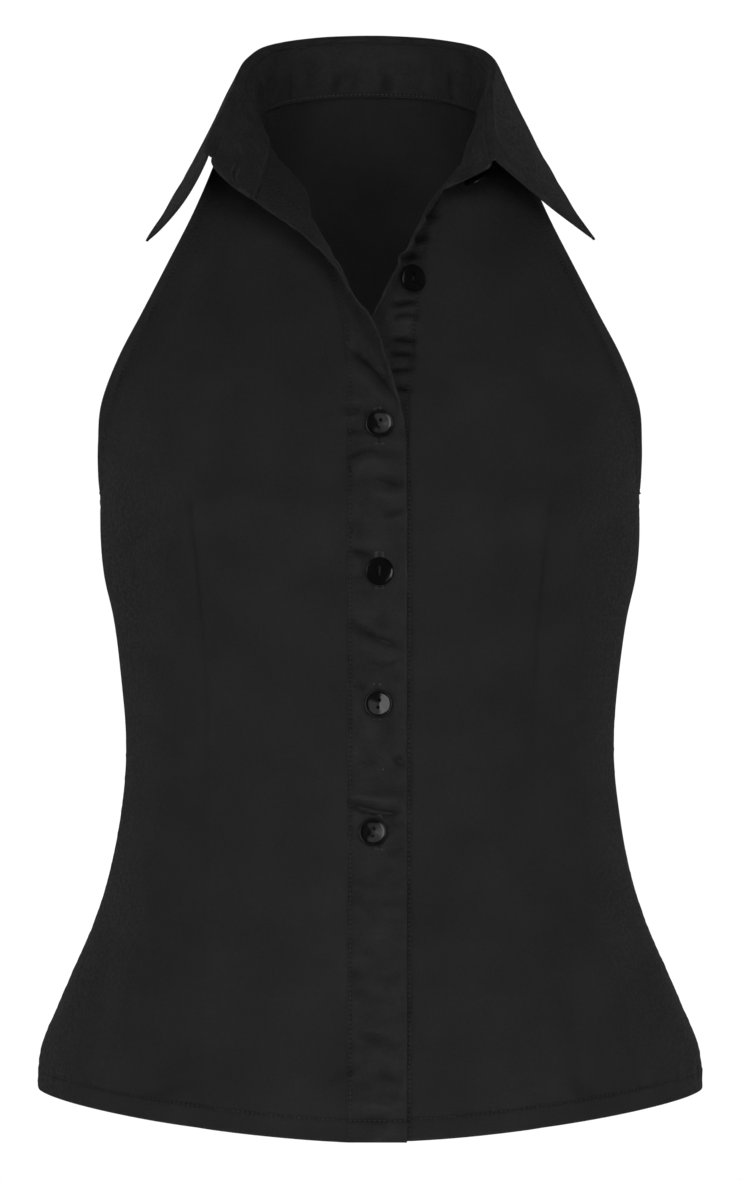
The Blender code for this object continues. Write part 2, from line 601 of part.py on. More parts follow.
# Offset directions, shared where two walls meet.
out_right = grid_normals(front_right)
out_left = grid_normals(front_left)
out_back = grid_normals(back)
out_band_right = grid_normals(band_right)
out_band_left = grid_normals(band_left)
out_fall = grid_normals(fall)

out_right = away(front_right, out_right)
out_left = away(front_left, out_left)
out_back = away(back, out_back)
out_band_right = out_band_right * np.sign(np.sum(out_band_right[:5, 0] * out_right[:5, 0]))
out_band_left = out_band_left * np.sign(np.sum(out_band_left[:5, 0] * out_left[:5, 0]))

# Band seams.
joined = blend_seam(out_right[:, 0], out_band_right[:, 0])
out_right[:, 0] = joined
out_band_right[:, 0] = joined
joined = blend_seam(out_left[:, 0], out_band_left[:, 0])
out_left[:, 0] = joined
out_band_left[:, 0] = joined

# Side seams.
for front, column, out in ((front_right, 0, out_right), (front_left, -1, out_left)):
    joined = blend_seam(out[: SKIRT_ROWS + 1, -1], out_back[: SKIRT_ROWS + 1, column])
    out[: SKIRT_ROWS + 1, -1] = joined
    out_back[: SKIRT_ROWS + 1, column] = joined

# Shoulder seams.
joined = blend_seam(out_right[-1, SHOULDER:], out_back[-1, back_middle - SHOULDER :: -1])
out_right[-1, SHOULDER:] = joined
out_back[-1, back_middle - SHOULDER :: -1] = joined
joined = blend_seam(out_left[-1, SHOULDER:], out_back[-1, back_middle + SHOULDER :])
out_left[-1, SHOULDER:] = joined
out_back[-1, back_middle + SHOULDER :] = joined

# Neck seam: the stand takes each piece's direction halfway.
lower = np.concatenate([
    out_band_right[-1, :0:-1],
    out_right[-1, : SHOULDER + 1],
    out_back[-1, back_middle - SHOULDER + 1 : back_middle + SHOULDER],
    out_left[-1, SHOULDER::-1],
    out_band_left[-1, 1:],
])
middle_column = len(station) // 2
stand_out = stand_normals * np.sign(np.sum(stand_normals[0, middle_column] * lower[middle_column]))
joined = blend_seam(stand_out[0], lower)
stand_out[0] = joined
count = BAND_COLUMNS
out_band_right[-1, :0:-1] = joined[:count]
out_right[-1, : SHOULDER + 1] = joined[count : count + SHOULDER + 1]
out_band_right[-1, 0] = out_right[-1, 0]
start = count + SHOULDER
out_back[-1, back_middle - SHOULDER : back_middle + SHOULDER + 1] = joined[start : start + 2 * SHOULDER + 1]
start += 2 * SHOULDER
out_left[-1, SHOULDER::-1] = joined[start : start + SHOULDER + 1]
out_band_left[-1, 1:] = joined[start + SHOULDER + 1 :]
out_band_left[-1, 0] = out_left[-1, 0]

# Top seam of the stand.
out_fall = out_fall * np.sign(np.sum(out_fall[0, middle_column - 2] * stand_out[-1, middle_column]))
joined = blend_seam(stand_out[-1, inside], out_fall[0])
out_fall[0] = joined
top_out = stand_out[-1].copy()
top_out[inside] = joined
stand_out[-1] = top_out

# Seam gaps.
front_right = pull_back(front_right, "first", "last", "top")
front_left = pull_back(front_left, "first", "last", "top")
back = pull_back(back, "first", "last", "top")
band_right = pull_back(band_right, "first", "top")
band_left = pull_back(band_left, "first", "top")
stand = pull_back(stand, "bottom", "top")
fall = pull_back(fall, "bottom")

# The pieces.
wall("front_right", front_right, PANEL_WALL, out_right, cloth("front_right"))
wall("front_left", front_left, PANEL_WALL, out_left, cloth("front_left"))
wall("back", back, PANEL_WALL, out_back, cloth("back"))
wall("placket_right", band_right, PLACKET_WALL, out_band_right, cloth("placket_right"))
wall("placket_left", band_left, PLACKET_WALL, out_band_left, cloth("placket_left"))
wall("collar_stand", stand, STAND_WALL, stand_out, cloth("collar_stand"))
wall("collar_fall", fall, FALL_WALL, out_fall, cloth("collar_fall"))

# Buttons: one on the outside of the stand, one left open on the underlap, four done up down the front.
button_black = plain_material("button", (0.012, 0.012, 0.013), 0.12)
turned = button_mesh(button_black)
band_face = PLACKET_WALL / CM / 2
for number, (x, z) in enumerate(DONE_UP_BUTTONS, start=2):
    spot, facing = on_band(band_right, out_band_right, x, z)
    place_button(f"button_{number}", turned, spot + facing * (band_face + DONE_UP_LIFT), facing, (0, 0, 1))
spot, facing = on_band(band_left, out_band_left, *OPEN_BUTTON)
place_button("button_1", turned, spot + facing * (band_face + OPEN_LIFT), facing + OPEN_TILT, (0, 0, 1))
place_button("button_stand", turned, STAND_BUTTON, STAND_BUTTON_FACING, neck_seam[-1] - neck_seam[-3])
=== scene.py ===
"""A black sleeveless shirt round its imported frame: cloth, seams, stitches, buttonholes and buttons."""

import math
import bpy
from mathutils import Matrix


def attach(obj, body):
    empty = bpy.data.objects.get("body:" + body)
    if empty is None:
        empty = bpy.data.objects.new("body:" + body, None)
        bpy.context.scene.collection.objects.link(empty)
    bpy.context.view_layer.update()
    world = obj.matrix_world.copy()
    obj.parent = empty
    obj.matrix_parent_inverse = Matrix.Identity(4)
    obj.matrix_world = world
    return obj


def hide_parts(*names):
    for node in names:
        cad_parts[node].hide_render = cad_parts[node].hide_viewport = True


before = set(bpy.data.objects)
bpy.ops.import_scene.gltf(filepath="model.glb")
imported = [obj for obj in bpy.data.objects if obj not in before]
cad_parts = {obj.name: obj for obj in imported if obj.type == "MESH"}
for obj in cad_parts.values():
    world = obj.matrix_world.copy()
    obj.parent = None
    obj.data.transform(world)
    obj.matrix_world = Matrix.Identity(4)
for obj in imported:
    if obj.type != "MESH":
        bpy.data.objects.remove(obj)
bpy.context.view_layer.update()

from types import SimpleNamespace

import bpy
import numpy as np
from mathutils import Matrix, Vector

# ---------------------------------------------------------------------------------------------------------
# Camera, floor and light
# The shirt is filled out in the air at the height where a wearer holds it. A plain pale floor well below it
# curves up all round. Soft boxes light the shirt evenly from the front, the back and both sides, and the key
# and the card in front are the ones that shine in its buttons.
# ---------------------------------------------------------------------------------------------------------
CAMERA_DISTANCE = 3.0
CAMERA_HEIGHT = -0.2527
CAMERA_LENS = 168.4
CAMERA_SENSOR = 36
CAMERA_REACH = 60
FLOOR_HEIGHT = -1.42
FLOOR_RADIUS = 11.0
FLOOR_SIDES = 96
SWEEP_RADIUS = 2.0
SWEEP_TURNS = range(10, 91, 10)
WALL_HEIGHT = 3.0
PAPER_PALE = (0.86, 0.86, 0.86, 1)
PAPER_ROUGHNESS = 0.9
PAPER_GLOW = 1.02
WORLD_GLOW = 0.02
SHIRT_MIDDLE = Vector((0, 0, CAMERA_HEIGHT))
HEM_MIDDLE = Vector((0, 0, -0.55))
HEM_SPREAD = 30
OPEN_SPREAD = 180
# The soft boxes: where each is, its width and height, its power, whether it shows in the buttons, what it
# faces and how widely it spreads.
SOFT_BOXES = {
    "front_box": ((0.3, -4.4, 1.2), 1.5, 1.5, 84, False, SHIRT_MIDDLE, OPEN_SPREAD),
    "rear_box": ((0.0, 4.4, 1.2), 1.8, 1.8, 80, False, SHIRT_MIDDLE, OPEN_SPREAD),
    "key_box": ((-1.75, -3.9, 0.15), 1.8, 2.4, 21, True, SHIRT_MIDDLE, OPEN_SPREAD),
    "card_box": ((-0.35, -5.0, 0.95), 2.3, 2.5, 7, True, SHIRT_MIDDLE, OPEN_SPREAD),
    "low_left_box": ((-1.0, -3.4, -0.7), 1.0, 1.0, 1.2, False, HEM_MIDDLE, HEM_SPREAD),
    "low_right_box": ((1.0, -3.4, -0.7), 1.0, 1.0, 1.4, False, HEM_MIDDLE, HEM_SPREAD),
    "left_box": ((-3.3, -0.6, 0.4), 2.0, 2.0, 14, False, SHIRT_MIDDLE, OPEN_SPREAD),
    "right_box": ((3.3, -0.6, 0.4), 2.0, 2.0, 15, False, SHIRT_MIDDLE, OPEN_SPREAD),
    "back_left_box": ((-2.8, 1.4, 0.2), 1.4, 1.4, 12, True, SHIRT_MIDDLE, OPEN_SPREAD),
    "back_right_box": ((2.8, 1.4, 0.2), 1.4, 1.4, 13, True, SHIRT_MIDDLE, OPEN_SPREAD),
}

bpy.ops.object.camera_add(location=(0, -CAMERA_DISTANCE, CAMERA_HEIGHT), rotation=(math.pi / 2, 0, 0))
camera = bpy.context.object
camera.name = "camera"
camera.data.lens = CAMERA_LENS
camera.data.sensor_width = CAMERA_SENSOR
camera.data.clip_end = CAMERA_REACH
bpy.context.scene.camera = camera
bpy.context.scene.view_settings.view_transform = "Standard"


def only(piece):
    """Makes one object the only one selected, and the active one."""
    bpy.ops.object.select_all(action="DESELECT")
    piece.select_set(True)
    bpy.context.view_layer.objects.active = piece


def floor_dish():
    """A round floor whose rim is extruded up a quarter turn and on into a wall."""
    bpy.ops.mesh.primitive_circle_add(
        vertices=FLOOR_SIDES, radius=FLOOR_RADIUS, fill_type="NGON", location=(0, 0, FLOOR_HEIGHT)
    )
    floor = bpy.context.object
    floor.name = "floor"
    bpy.ops.object.mode_set(mode="EDIT")
    bpy.ops.mesh.select_mode(type="EDGE")
    rings = []
    for turn in np.radians(SWEEP_TURNS):
        rings.append((FLOOR_RADIUS + SWEEP_RADIUS * math.sin(turn), SWEEP_RADIUS * (1 - math.cos(turn))))
    rings.append((rings[-1][0], rings[-1][1] + WALL_HEIGHT))
    radius = FLOOR_RADIUS
    height = 0.0
    for next_radius, next_height in rings:
        bpy.ops.mesh.extrude_edges_move(TRANSFORM_OT_translate={"value": (0, 0, next_height - height)})
        bpy.ops.transform.resize(value=(next_radius / radius, next_radius / radius, 1))
        radius = next_radius
        height = next_height
    bpy.ops.object.mode_set(mode="OBJECT")
    only(floor)
    bpy.ops.object.transform_apply(location=True, rotation=True, scale=True)
    bpy.ops.object.shade_smooth()
    return floor


def new_material(name):
    """A material, with its node tree and its shader."""
    made = bpy.data.materials.new(name)
    made.use_nodes = True
    return made, made.node_tree, made.node_tree.nodes["Principled BSDF"]


def pale_material():
    """Matt white, shown to the camera as evenly lit studio paper."""
    made, tree, paper = new_material("studio_paper")
    nodes = tree.nodes
    links = tree.links
    paper.inputs["Base Color"].default_value = PAPER_PALE
    paper.inputs["Roughness"].default_value = PAPER_ROUGHNESS
    lit = nodes.new("ShaderNodeEmission")
    lit.inputs["Strength"].default_value = PAPER_GLOW
    path = nodes.new("ShaderNodeLightPath")
    mix = nodes.new("ShaderNodeMixShader")
    links.new(path.outputs["Is Camera Ray"], mix.inputs["Fac"])
    links.new(paper.outputs["BSDF"], mix.inputs[1])
    links.new(lit.outputs["Emission"], mix.inputs[2])
    links.new(mix.outputs["Shader"], nodes["Material Output"].inputs["Surface"])
    return made


floor = floor_dish()
floor.data.materials.append(pale_material())
floor.visible_glossy = False
for name, (place, width, height, power, mirrored, aim, spread) in SOFT_BOXES.items():
    bpy.ops.object.light_add(type="AREA", location=place)
    lamp = bpy.context.object
    lamp.name = name
    lamp.data.shape = "RECTANGLE"
    lamp.data.size = width
    lamp.data.size_y = height
    lamp.data.energy = power
    lamp.data.spread = math.radians(spread)
    lamp.rotation_euler = (aim - Vector(place)).to_track_quat("-Z", "Y").to_euler()
    lamp.visible_glossy = mirrored
world = bpy.data.worlds.new("world")
bpy.context.scene.world = world
world.use_nodes = True
world.node_tree.nodes["Background"].inputs["Color"].default_value = (1, 1, 1, 1)
world.node_tree.nodes["Background"].inputs["Strength"].default_value = WORLD_GLOW

# ---------------------------------------------------------------------------------------------------------
# Fronts
# Two shaped panels of black cotton poplin, each with a waist and bust dart, a narrow turned hem round the
# armhole and a wider one at the bottom edge. They are sewn to the front bands, the back and the collar stand.
# ---------------------------------------------------------------------------------------------------------
CM = 0.01
MM = 0.001
MM_PER_CM = 10
TINY = 1e-12
PANEL_THICK = 0.9 * MM
PANEL_THIN_SHARE = 0.5
PANEL_OUT = 0.35 * MM
PANEL_PITCH = 1.55 * MM
HEM_WIDTH = 11.5 * MM
ARMHOLE_HEM = 6.2 * MM
ARMHOLE_STITCH = ARMHOLE_HEM - 0.4 * MM
UNDERARM_ROWS = 10
INNER = 3
CORNER_SINK = 0.6 * MM
CORNER_REACH = 3.0 * MM

# The form, in centimetres, as the frame's cloth solids have it.
HEM_SIDE_Z = -52.2
HEM_DROP = 1.95
HEM_CURVE = 1.55
HEM_HALF_WIDTH = 18.0
HEM_FADE_Z = -43.0
HEM_FADE_CURVE = 1.3
UNDERARM_Z = -20.2
BUST_DROP = 0.6
BUST_DROP_Z = -26.0
ROUNDNESS = 2.3
BUST_FULLNESS = 1.1
BUST_X, BUST_Z = 8.7, -20.8
BUST_SPREAD_X, BUST_SPREAD_Z = 4.2, 4.8
LAP_STEP = 1.2 * MM
LAP_REACH = 3.5
LAP_TOP_Z = -11.0
LAP_FADE = 4.0
CHEST_LEAN = 0.22
CHEST_PULL = 0.64
EDGE_FALLOFF = 1.5
SMOOTHING = 6
SMOOTHING_KEEP = 0.6
SKIRT_ROWS = 15
CHEST_ROWS = 10
DART_COLUMNS = 5
SIDE_COLUMNS = 6
NECK_COLUMNS = 8
SHOULDER_COLUMNS = 3
FINE_STEPS = 600
UNDERARM_CROWD = 1.3
OVERLAP_STITCH_X = -1.18
UNDERLAP_STITCH_X = 2.2
# z, half width, front depth, back depth.
FORM = np.array([
    (0.2, 6.5, 0.6, 7.4),
    (-1.4, 9.3, 3.5, 7.9),
    (-2.3, 10.5, 4.7, 8.2),
    (-3.4, 11.7, 5.65, 8.5),
    (-5.0, 13.3, 6.5, 8.8),
    (-7.5, 15.2, 7.65, 9.1),
    (-10.0, 16.4, 8.7, 9.4),
    (-13.0, 16.6, 9.85, 9.6),
    (-16.6, 15.7, 11.15, 9.6),
    (-20.2, 14.6, 12.25, 9.3),
    (-23.1, 14.59, 12.1, 8.8),
    (-27.0, 13.87, 10.95, 8.1),
    (-31.3, 13.34, 9.6, 7.7),
    (-34.2, 13.23, 9.2, 7.8),
    (-38.0, 13.6, 9.55, 8.6),
    (-42.1, 14.54, 10.4, 9.8),
    (-47.5, 16.8, 11.2, 11.2),
    (-50.3, 17.9, 11.6, 11.7),
    (-54.2, 17.9, 11.7, 11.9),
])
# Front waist dart: z, distance from the middle.
FRONT_DART = np.array([(-20.8, 9.4), (-27.0, 8.9), (-34.2, 8.55), (-42.0, 8.7), (-54.2, 9.1)])
# Armhole edge from the underarm to the tip of the shoulder: x, y, z.
FRONT_ARMHOLE = np.array([
    (14.6, 0.0, -20.2), (14.6, -1.3, -20.05), (14.6, -2.7, -19.4), (14.57, -4.2, -17.95), (14.5, -5.3, -16.6),
    (14.28, -6.2, -15.2), (13.95, -6.7, -14.1), (13.15, -6.8, -12.5), (11.8, -6.3, -9.85),
    (10.45, -5.2, -7.1), (9.66, -4.3, -5.45), (9.2, -3.6, -4.35), (8.7, -2.7, -3.1),
    (8.25, -1.2, -1.6), (7.95, 0.45, -0.55),
])
# Stitch lines of the two bands above the bust: x, z, and how far the line stands forward of the form.
OVERLAP_STITCH = np.array([
    (-1.18, -20.8, 0.0), (-1.18, -16.5, 0.0), (-1.2, -14.0, 0.0), (-1.3, -12.1, 0.0), (-2.1, -8.85, 0.0),
    (-3.2, -5.5, 0.3), (-4.62, -4.25, 0.9), (-5.77, -3.42, 0.8),
])
UNDERLAP_STITCH = np.array([
    (2.2, -20.8, 0.0), (2.1, -16.7, 0.0), (2.15, -14.3, 0.0), (2.4, -12.1, 0.0), (2.62, -10.2, 0.0),
    (2.8, -8.9, 0.0), (2.95, -7.9, 0.0), (3.15, -6.3, 0.0), (3.6, -4.9, 0.1), (4.3, -3.4, 0.2),
    (5.0, -2.3, 0.4),
])
# The roll of the open front, by height and by column.
ROLL_BY_HEIGHT = np.array([(0.0, 0.0), (0.55, 0.0), (0.68, 0.25), (0.8, 0.85), (0.9, 1.0), (1.0, 0.0)])
ROLL_BY_COLUMN = np.array([0.0, 0.8, 1.25, 1.15, 0.75, 0.35, 0.1])
# Neck seam of each front, from its band to its shoulder: x, y, z.
NECK_RIGHT = np.array([(-5.77, -5.85, -3.42), (-5.42, -3.2, -1.4), (-6.3, 0.5, 0.2)])
NECK_LEFT = np.array([(5.0, -4.75, -2.3), (5.3, -3.0, -1.3), (6.3, 0.5, 0.2)])
SHOULDER_TIP = np.array((7.95, 0.45, -0.55))


def spline(xs, ys, at):
    """Smooth curve through the points (xs, ys), read at the places in at."""
    xs = np.asarray(xs, float)
    ys = np.asarray(ys, float)
    at = np.clip(np.asarray(at, float), xs.min(), xs.max())
    if xs[0] > xs[-1]:
        xs = xs[::-1]
        ys = ys[::-1]
    step = np.diff(xs)
    shape = (-1,) + (1,) * (ys.ndim - 1)
    slope = np.diff(ys, axis=0) / step.reshape(shape)
    tangent = np.empty_like(ys)
    tangent[0] = slope[0]
    tangent[-1] = slope[-1]
    weight = step[:-1] / (step[:-1] + step[1:])
    tangent[1:-1] = slope[:-1] * (1 - weight).reshape(shape) + slope[1:] * weight.reshape(shape)
    i = np.clip(np.searchsorted(xs, at, side="right") - 1, 0, len(xs) - 2)
    t = ((at - xs[i]) / step[i]).reshape(np.shape(at) + (1,) * (ys.ndim - 1))
    h = step[i].reshape(t.shape)
    return (
        (2 * t**3 - 3 * t**2 + 1) * ys[i]
        + (t**3 - 2 * t**2 + t) * h * tangent[i]
        + (3 * t**2 - 2 * t**3) * ys[i + 1]
        + (t**3 - t**2) * h * tangent[i + 1]
    )


def lengths(points):
    """Distance along a line of points, from 0 at its first."""
    return np.concatenate([[0], np.cumsum(np.linalg.norm(np.diff(points, axis=0), axis=1))])


def read_at(places, along, points):
    """Points read off a line of points, whose own places along it are along, at other places."""
    return np.stack([np.interp(places, along, axis) for axis in points.T], axis=-1)


def resample(points, count, crowd=1.0):
    """The smooth curve through the points, cut into count lengths, equal or crowded to its start."""
    at = lengths(points)
    dense = spline(at, points, np.linspace(0, at[-1], FINE_STEPS))
    along = lengths(dense)
    places = along[-1] * np.linspace(0, 1, count + 1) ** crowd
    return read_at(places, along, dense)


def unit(v):
    return v / np.maximum(np.linalg.norm(v, axis=-1, keepdims=True), TINY)


def form_at(z):
    """Half width, front depth and back depth of the form at a height."""
    return spline(FORM[:, 0], FORM[:, 1:], z)


def bust(x, z):
    """Extra fullness over the bust, with the cloth bridging the middle."""
    side = (np.abs(x) - BUST_X) / BUST_SPREAD_X
    high = (z - BUST_Z) / BUST_SPREAD_Z
    return BUST_FULLNESS * np.exp(-side**2 - high**2)


def on_form(x, z, back):
    """The point of the form at x and z, on its front or its back."""
    width, front, rear = np.moveaxis(form_at(z), -1, 0)
    share = np.clip(1 - (np.abs(x) / width) ** ROUNDNESS, 0, 1) ** (1 / ROUNDNESS)
    y = rear * share if back else -(front * share) - bust(x, z) * np.minimum(share * 2, 1)
    return np.stack([x, y, z + 0 * x], axis=-1)


def level(z_side, x):
    """Height along a row: rows follow the curved hem and are level from the waist up to the bust."""
    fade = np.clip((HEM_FADE_Z - z_side) / (HEM_FADE_Z - HEM_SIDE_Z), 0, 1)
    rise = np.clip((z_side - BUST_DROP_Z) / (UNDERARM_Z - BUST_DROP_Z), 0, 1)
    middle = 1 - (np.abs(x) / HEM_HALF_WIDTH) ** HEM_CURVE
    return z_side - (HEM_DROP * fade**HEM_FADE_CURVE + BUST_DROP * rise) * middle


def skirt_row(z_side, x_start, dart, back):
    """One row from x_start to the side seam, in centimetres, with a column on the dart."""
    width = form_at(np.array([z_side]))[0, 0]
    turn = np.linspace(0, np.pi / 2, FINE_STEPS)
    x = width * np.sin(turn) ** (2 / ROUNDNESS)
    x = np.maximum.accumulate(np.concatenate([x[:-1], [width]]))
    dense = on_form(x, level(z_side, x), back)
    dense[:, 0] = x
    along = lengths(dense)
    start = np.interp(abs(x_start), x, along)
    middle = np.interp(spline(dart[:, 0], dart[:, 1], z_side), x, along)
    places = np.concatenate([
        np.linspace(start, middle, DART_COLUMNS + 1),
        np.linspace(middle, along[-1], SIDE_COLUMNS + 1)[1:],
    ])
    row = read_at(places, along, dense)
    row[-1] = (dense[-1, 0], 0.0, z_side)
    return row


def chest_rows(bottom, top, inner, outer):
    """Rows above the bottom row up to the top row, held to the inner and outer edges."""
    v = np.linspace(0, 1, CHEST_ROWS + 1)[1:, None, None]
    reach = np.linalg.norm(top - bottom, axis=1)[:, None]
    first = bottom + np.array((0.0, 0.0, CHEST_LEAN)) * reach
    second = bottom + (top - bottom) * CHEST_PULL
    rows = (1 - v) ** 3 * bottom + 3 * (1 - v) ** 2 * v * first + 3 * (1 - v) * v**2 * second + v**3 * top
    u = np.linspace(0, 1, len(bottom))[None, :, None]
    rows = rows + (inner[1:, None, :] - rows[:, :1]) * (1 - u) ** EDGE_FALLOFF
    rows = rows + (outer[1:, None, :] - rows[:, -1:]) * u**EDGE_FALLOFF
    whole = np.concatenate([bottom[None], rows])
    for _ in range(SMOOTHING):
        around = whole[:-2, 1:-1] + whole[2:, 1:-1] + whole[1:-1, :-2] + whole[1:-1, 2:]
        whole[1:-1, 1:-1] = whole[1:-1, 1:-1] * SMOOTHING_KEEP + around * (1 - SMOOTHING_KEEP) / 4
    return whole[1:]


def side_heights():
    """Heights of the skirt's rows at the side seam, hem to underarm."""
    return np.linspace(HEM_SIDE_Z, UNDERARM_Z, SKIRT_ROWS + 1)


def shoulder_seam(neck_end, tip):
    """Points of a shoulder seam after its neck end, out to its tip."""
    return neck_end + (tip - neck_end) * np.linspace(0, 1, SHOULDER_COLUMNS + 1)[1:, None]


def front_grid(side, stitch_x, stitch, neck):
    """Mid surface of one front, hem to neck in rows, band seam to side seam in columns. side is -1 or 1."""
    rows = np.array([skirt_row(z, abs(stitch_x), FRONT_DART, False) for z in side_heights()])
    rows[:, :, 0] *= side
    inner_line = on_form(stitch[:, 0], stitch[:, 1], False)
    inner_line[:, 1] -= stitch[:, 2]
    inner_line[0] = rows[-1, 0]
    inner_line[-1] = neck[0]
    inner = resample(inner_line, CHEST_ROWS)
    outer = resample(FRONT_ARMHOLE * np.array((side, 1, 1)), CHEST_ROWS, UNDERARM_CROWD)
    tip = SHOULDER_TIP * np.array((side, 1, 1))
    top = np.concatenate([resample(neck, NECK_COLUMNS), shoulder_seam(neck[-1], tip)])
    grid = np.concatenate([rows, chest_rows(rows[-1], top, inner, outer)])
    if side < 0:
        high = np.linspace(0, 1, CHEST_ROWS + 1)
        roll = spline(ROLL_BY_HEIGHT[:, 0], ROLL_BY_HEIGHT[:, 1], high)[:, None] * ROLL_BY_COLUMN
        grid[SKIRT_ROWS:, : len(ROLL_BY_COLUMN), 0] += np.clip(roll, 0, None)
    near = np.clip(1 - (np.abs(grid[:, :, 0]) - abs(stitch_x)) / LAP_REACH, 0, 1) ** 2
    low = np.clip((LAP_TOP_Z - grid[:, :, 2]) / LAP_FADE, 0, 1)
    grid[:, :, 1] += side * near * low * LAP_STEP / CM
    return grid


EDGE_MARKS = np.array((0.0, 0.3, 0.8, 1.5)) * MM
HEM_MARKS = np.array((-0.9, -0.3, 0.3, 0.9)) * MM
HEM_CLEAR = 1.3 * MM
CONTROL_MARKS = 4
BATCH = 4000


def marks(total, pitch, also):
    """Places along a length: close together at both ends, where the cloth turns, and even between them."""
    middle = np.linspace(EDGE_MARKS[-1], total - EDGE_MARKS[-1], int(total / pitch))
    for place in also:
        middle = np.concatenate([middle[np.abs(middle - place) > HEM_CLEAR], place + HEM_MARKS])
    return np.concatenate([EDGE_MARKS[:-1], np.sort(middle), total - EDGE_MARKS[-2::-1]])


def fine(grid, pitch):
    """A control grid in centimetres read on a close one in metres, smooth both ways, closest at the hem."""
    grid = grid * CM
    up = lengths(grid[:, grid.shape[1] // 2])
    rows = np.interp(marks(up[-1], pitch, [HEM_WIDTH]), up, np.arange(len(up)))
    over = lengths(grid[len(grid) // CONTROL_MARKS])
    columns = np.interp(marks(over[-1], pitch, []), over, np.arange(len(over)))
    by_row = spline(np.arange(len(grid)), grid, rows)
    turned = spline(np.arange(grid.shape[1]), np.swapaxes(by_row, 0, 1), columns)
    return np.swapaxes(turned, 0, 1)


def grid_normals(points):
    """Unit normals of a grid of points: its columns run to the right and its rows up, seen from outside."""
    up = np.gradient(points, axis=0)
    over = np.gradient(points, axis=1)
    return unit(np.cross(over, up))


def flat_places(points):
    """Where each point lies on the flat cloth, in metres: across from the first column, up from the hem."""
    across = np.cumsum(np.linalg.norm(np.diff(points, axis=1, prepend=points[:, :1]), axis=2), axis=1)
    up = np.cumsum(np.linalg.norm(np.diff(points, axis=0, prepend=points[:1]), axis=2), axis=0)
    return np.stack([across, up], axis=-1)


def nearest_on(points, line):
    """How far each point of a grid is from a line of points, in metres, and the share of the line run."""
    shape = points.shape[:2]
    points = points.reshape(-1, 3)
    start = line[:-1]
    step = np.diff(line, axis=0)
    square = np.maximum(np.sum(step**2, axis=1), TINY)
    at = lengths(line) / lengths(line)[-1]
    far = np.empty(len(points))
    run = np.empty(len(points))
    for low in range(0, len(points), BATCH):
        some = points[low : low + BATCH, None]
        share = np.clip(np.sum((some - start) * step, axis=2) / square, 0, 1)
        gap = np.sum((some - start - share[..., None] * step) ** 2, axis=2)
        best = gap.argmin(axis=1)
        each = np.arange(len(best))
        far[low : low + BATCH] = np.sqrt(gap[each, best])
        run[low : low + BATCH] = at[best] + (at[best + 1] - at[best]) * share[each, best]
    return far.reshape(shape), run.reshape(shape)


def distance_to(points, line):
    return nearest_on(points, line)[0]


def across_and_up(points):
    """How far across and how high the points of a grid are, in centimetres."""
    return points[:, :, 0] / CM, points[:, :, 2] / CM


def bump(distance, width):
    """1 on the line and falling away softly over the width."""
    return np.exp(-((distance / width) ** 2))


FOLD_ENDS = 0.8
HOLLOW_DEPTH = 2.7 * MM
HOLLOW_WIDEST = 4.5
HOLLOW_CURVE = 1.5
RIPPLE_WAVES = 9
RIPPLE_SIZES = (0.6, 1.7)
PUCKER_SIZES = (4.2, 6.1, 9.7, 15.0)
PUCKER_TURN = 6.28
PUCKER_HEIGHT = 0.16
PUCKER_REACH = 3.2


def folds(a, b, table):
    """Soft ridges and troughs, in metres outward. Each row of the table has, in centimetres, the two ends of
    a fold (a, b), (a, b) and how far it bows aside, then its half width and its height in millimetres."""
    total = np.zeros(a.shape)
    for a0, b0, a1, b1, bow, width, height in table:
        run = math.hypot(a1 - a0, b1 - b0)
        along_a = (a1 - a0) / run
        along_b = (b1 - b0) / run
        share = ((a - a0) * along_a + (b - b0) * along_b) / run
        inside = np.clip(share, 0, 1)
        aside = (b - b0) * along_a - (a - a0) * along_b - bow * 4 * inside * (1 - inside)
        total += height * MM * np.sin(np.pi * inside) ** FOLD_ENDS * bump(aside * MM_PER_CM, width)
    return total


def crease_shading(a, b, table):
    """Where shade and highlight are painted on sharp folds: 1 at the bottom of a deep sharp fold, -1 on top
    of a sharp ridge and 0 where the cloth is smooth.
    """
    sharp = [fold for fold in table if fold[-2] < HOLLOW_WIDEST]
    depth = np.clip(-folds(a, b, sharp) / HOLLOW_DEPTH, -1, 1)
    return np.sign(depth) * np.abs(depth) ** HOLLOW_CURVE


def ripple(a, b, wavelength, height, seed):
    """Gentle unevenness of the cloth: a few crossing waves, in metres, for places in centimetres."""
    draw = np.random.default_rng(seed)
    total = np.zeros(a.shape)
    for _ in range(RIPPLE_WAVES):
        turn = draw.uniform(0, math.pi)
        size = wavelength * draw.uniform(*RIPPLE_SIZES)
        phase = draw.uniform(0, 2 * math.pi)
        total += np.sin((a * math.cos(turn) + b * math.sin(turn)) * 2 * math.pi / size + phase)
    return total * height * MM / math.sqrt(RIPPLE_WAVES)


def pucker(along, distance, seed, height=PUCKER_HEIGHT, reach=PUCKER_REACH):
    """The small gathers that a row of stitches draws up beside itself. along and distance are in metres."""
    draw = np.random.default_rng(seed)
    total = np.zeros(along.shape)
    for size in PUCKER_SIZES:
        total += np.sin(along / (size * MM) * 2 * math.pi + draw.uniform(0, PUCKER_TURN))
    return total / 2 * height * MM * bump(distance, reach * MM)


LAYER_STEPS = 20
CLOTH_ANGLE = math.radians(50)
FAR_OFF = 9.0


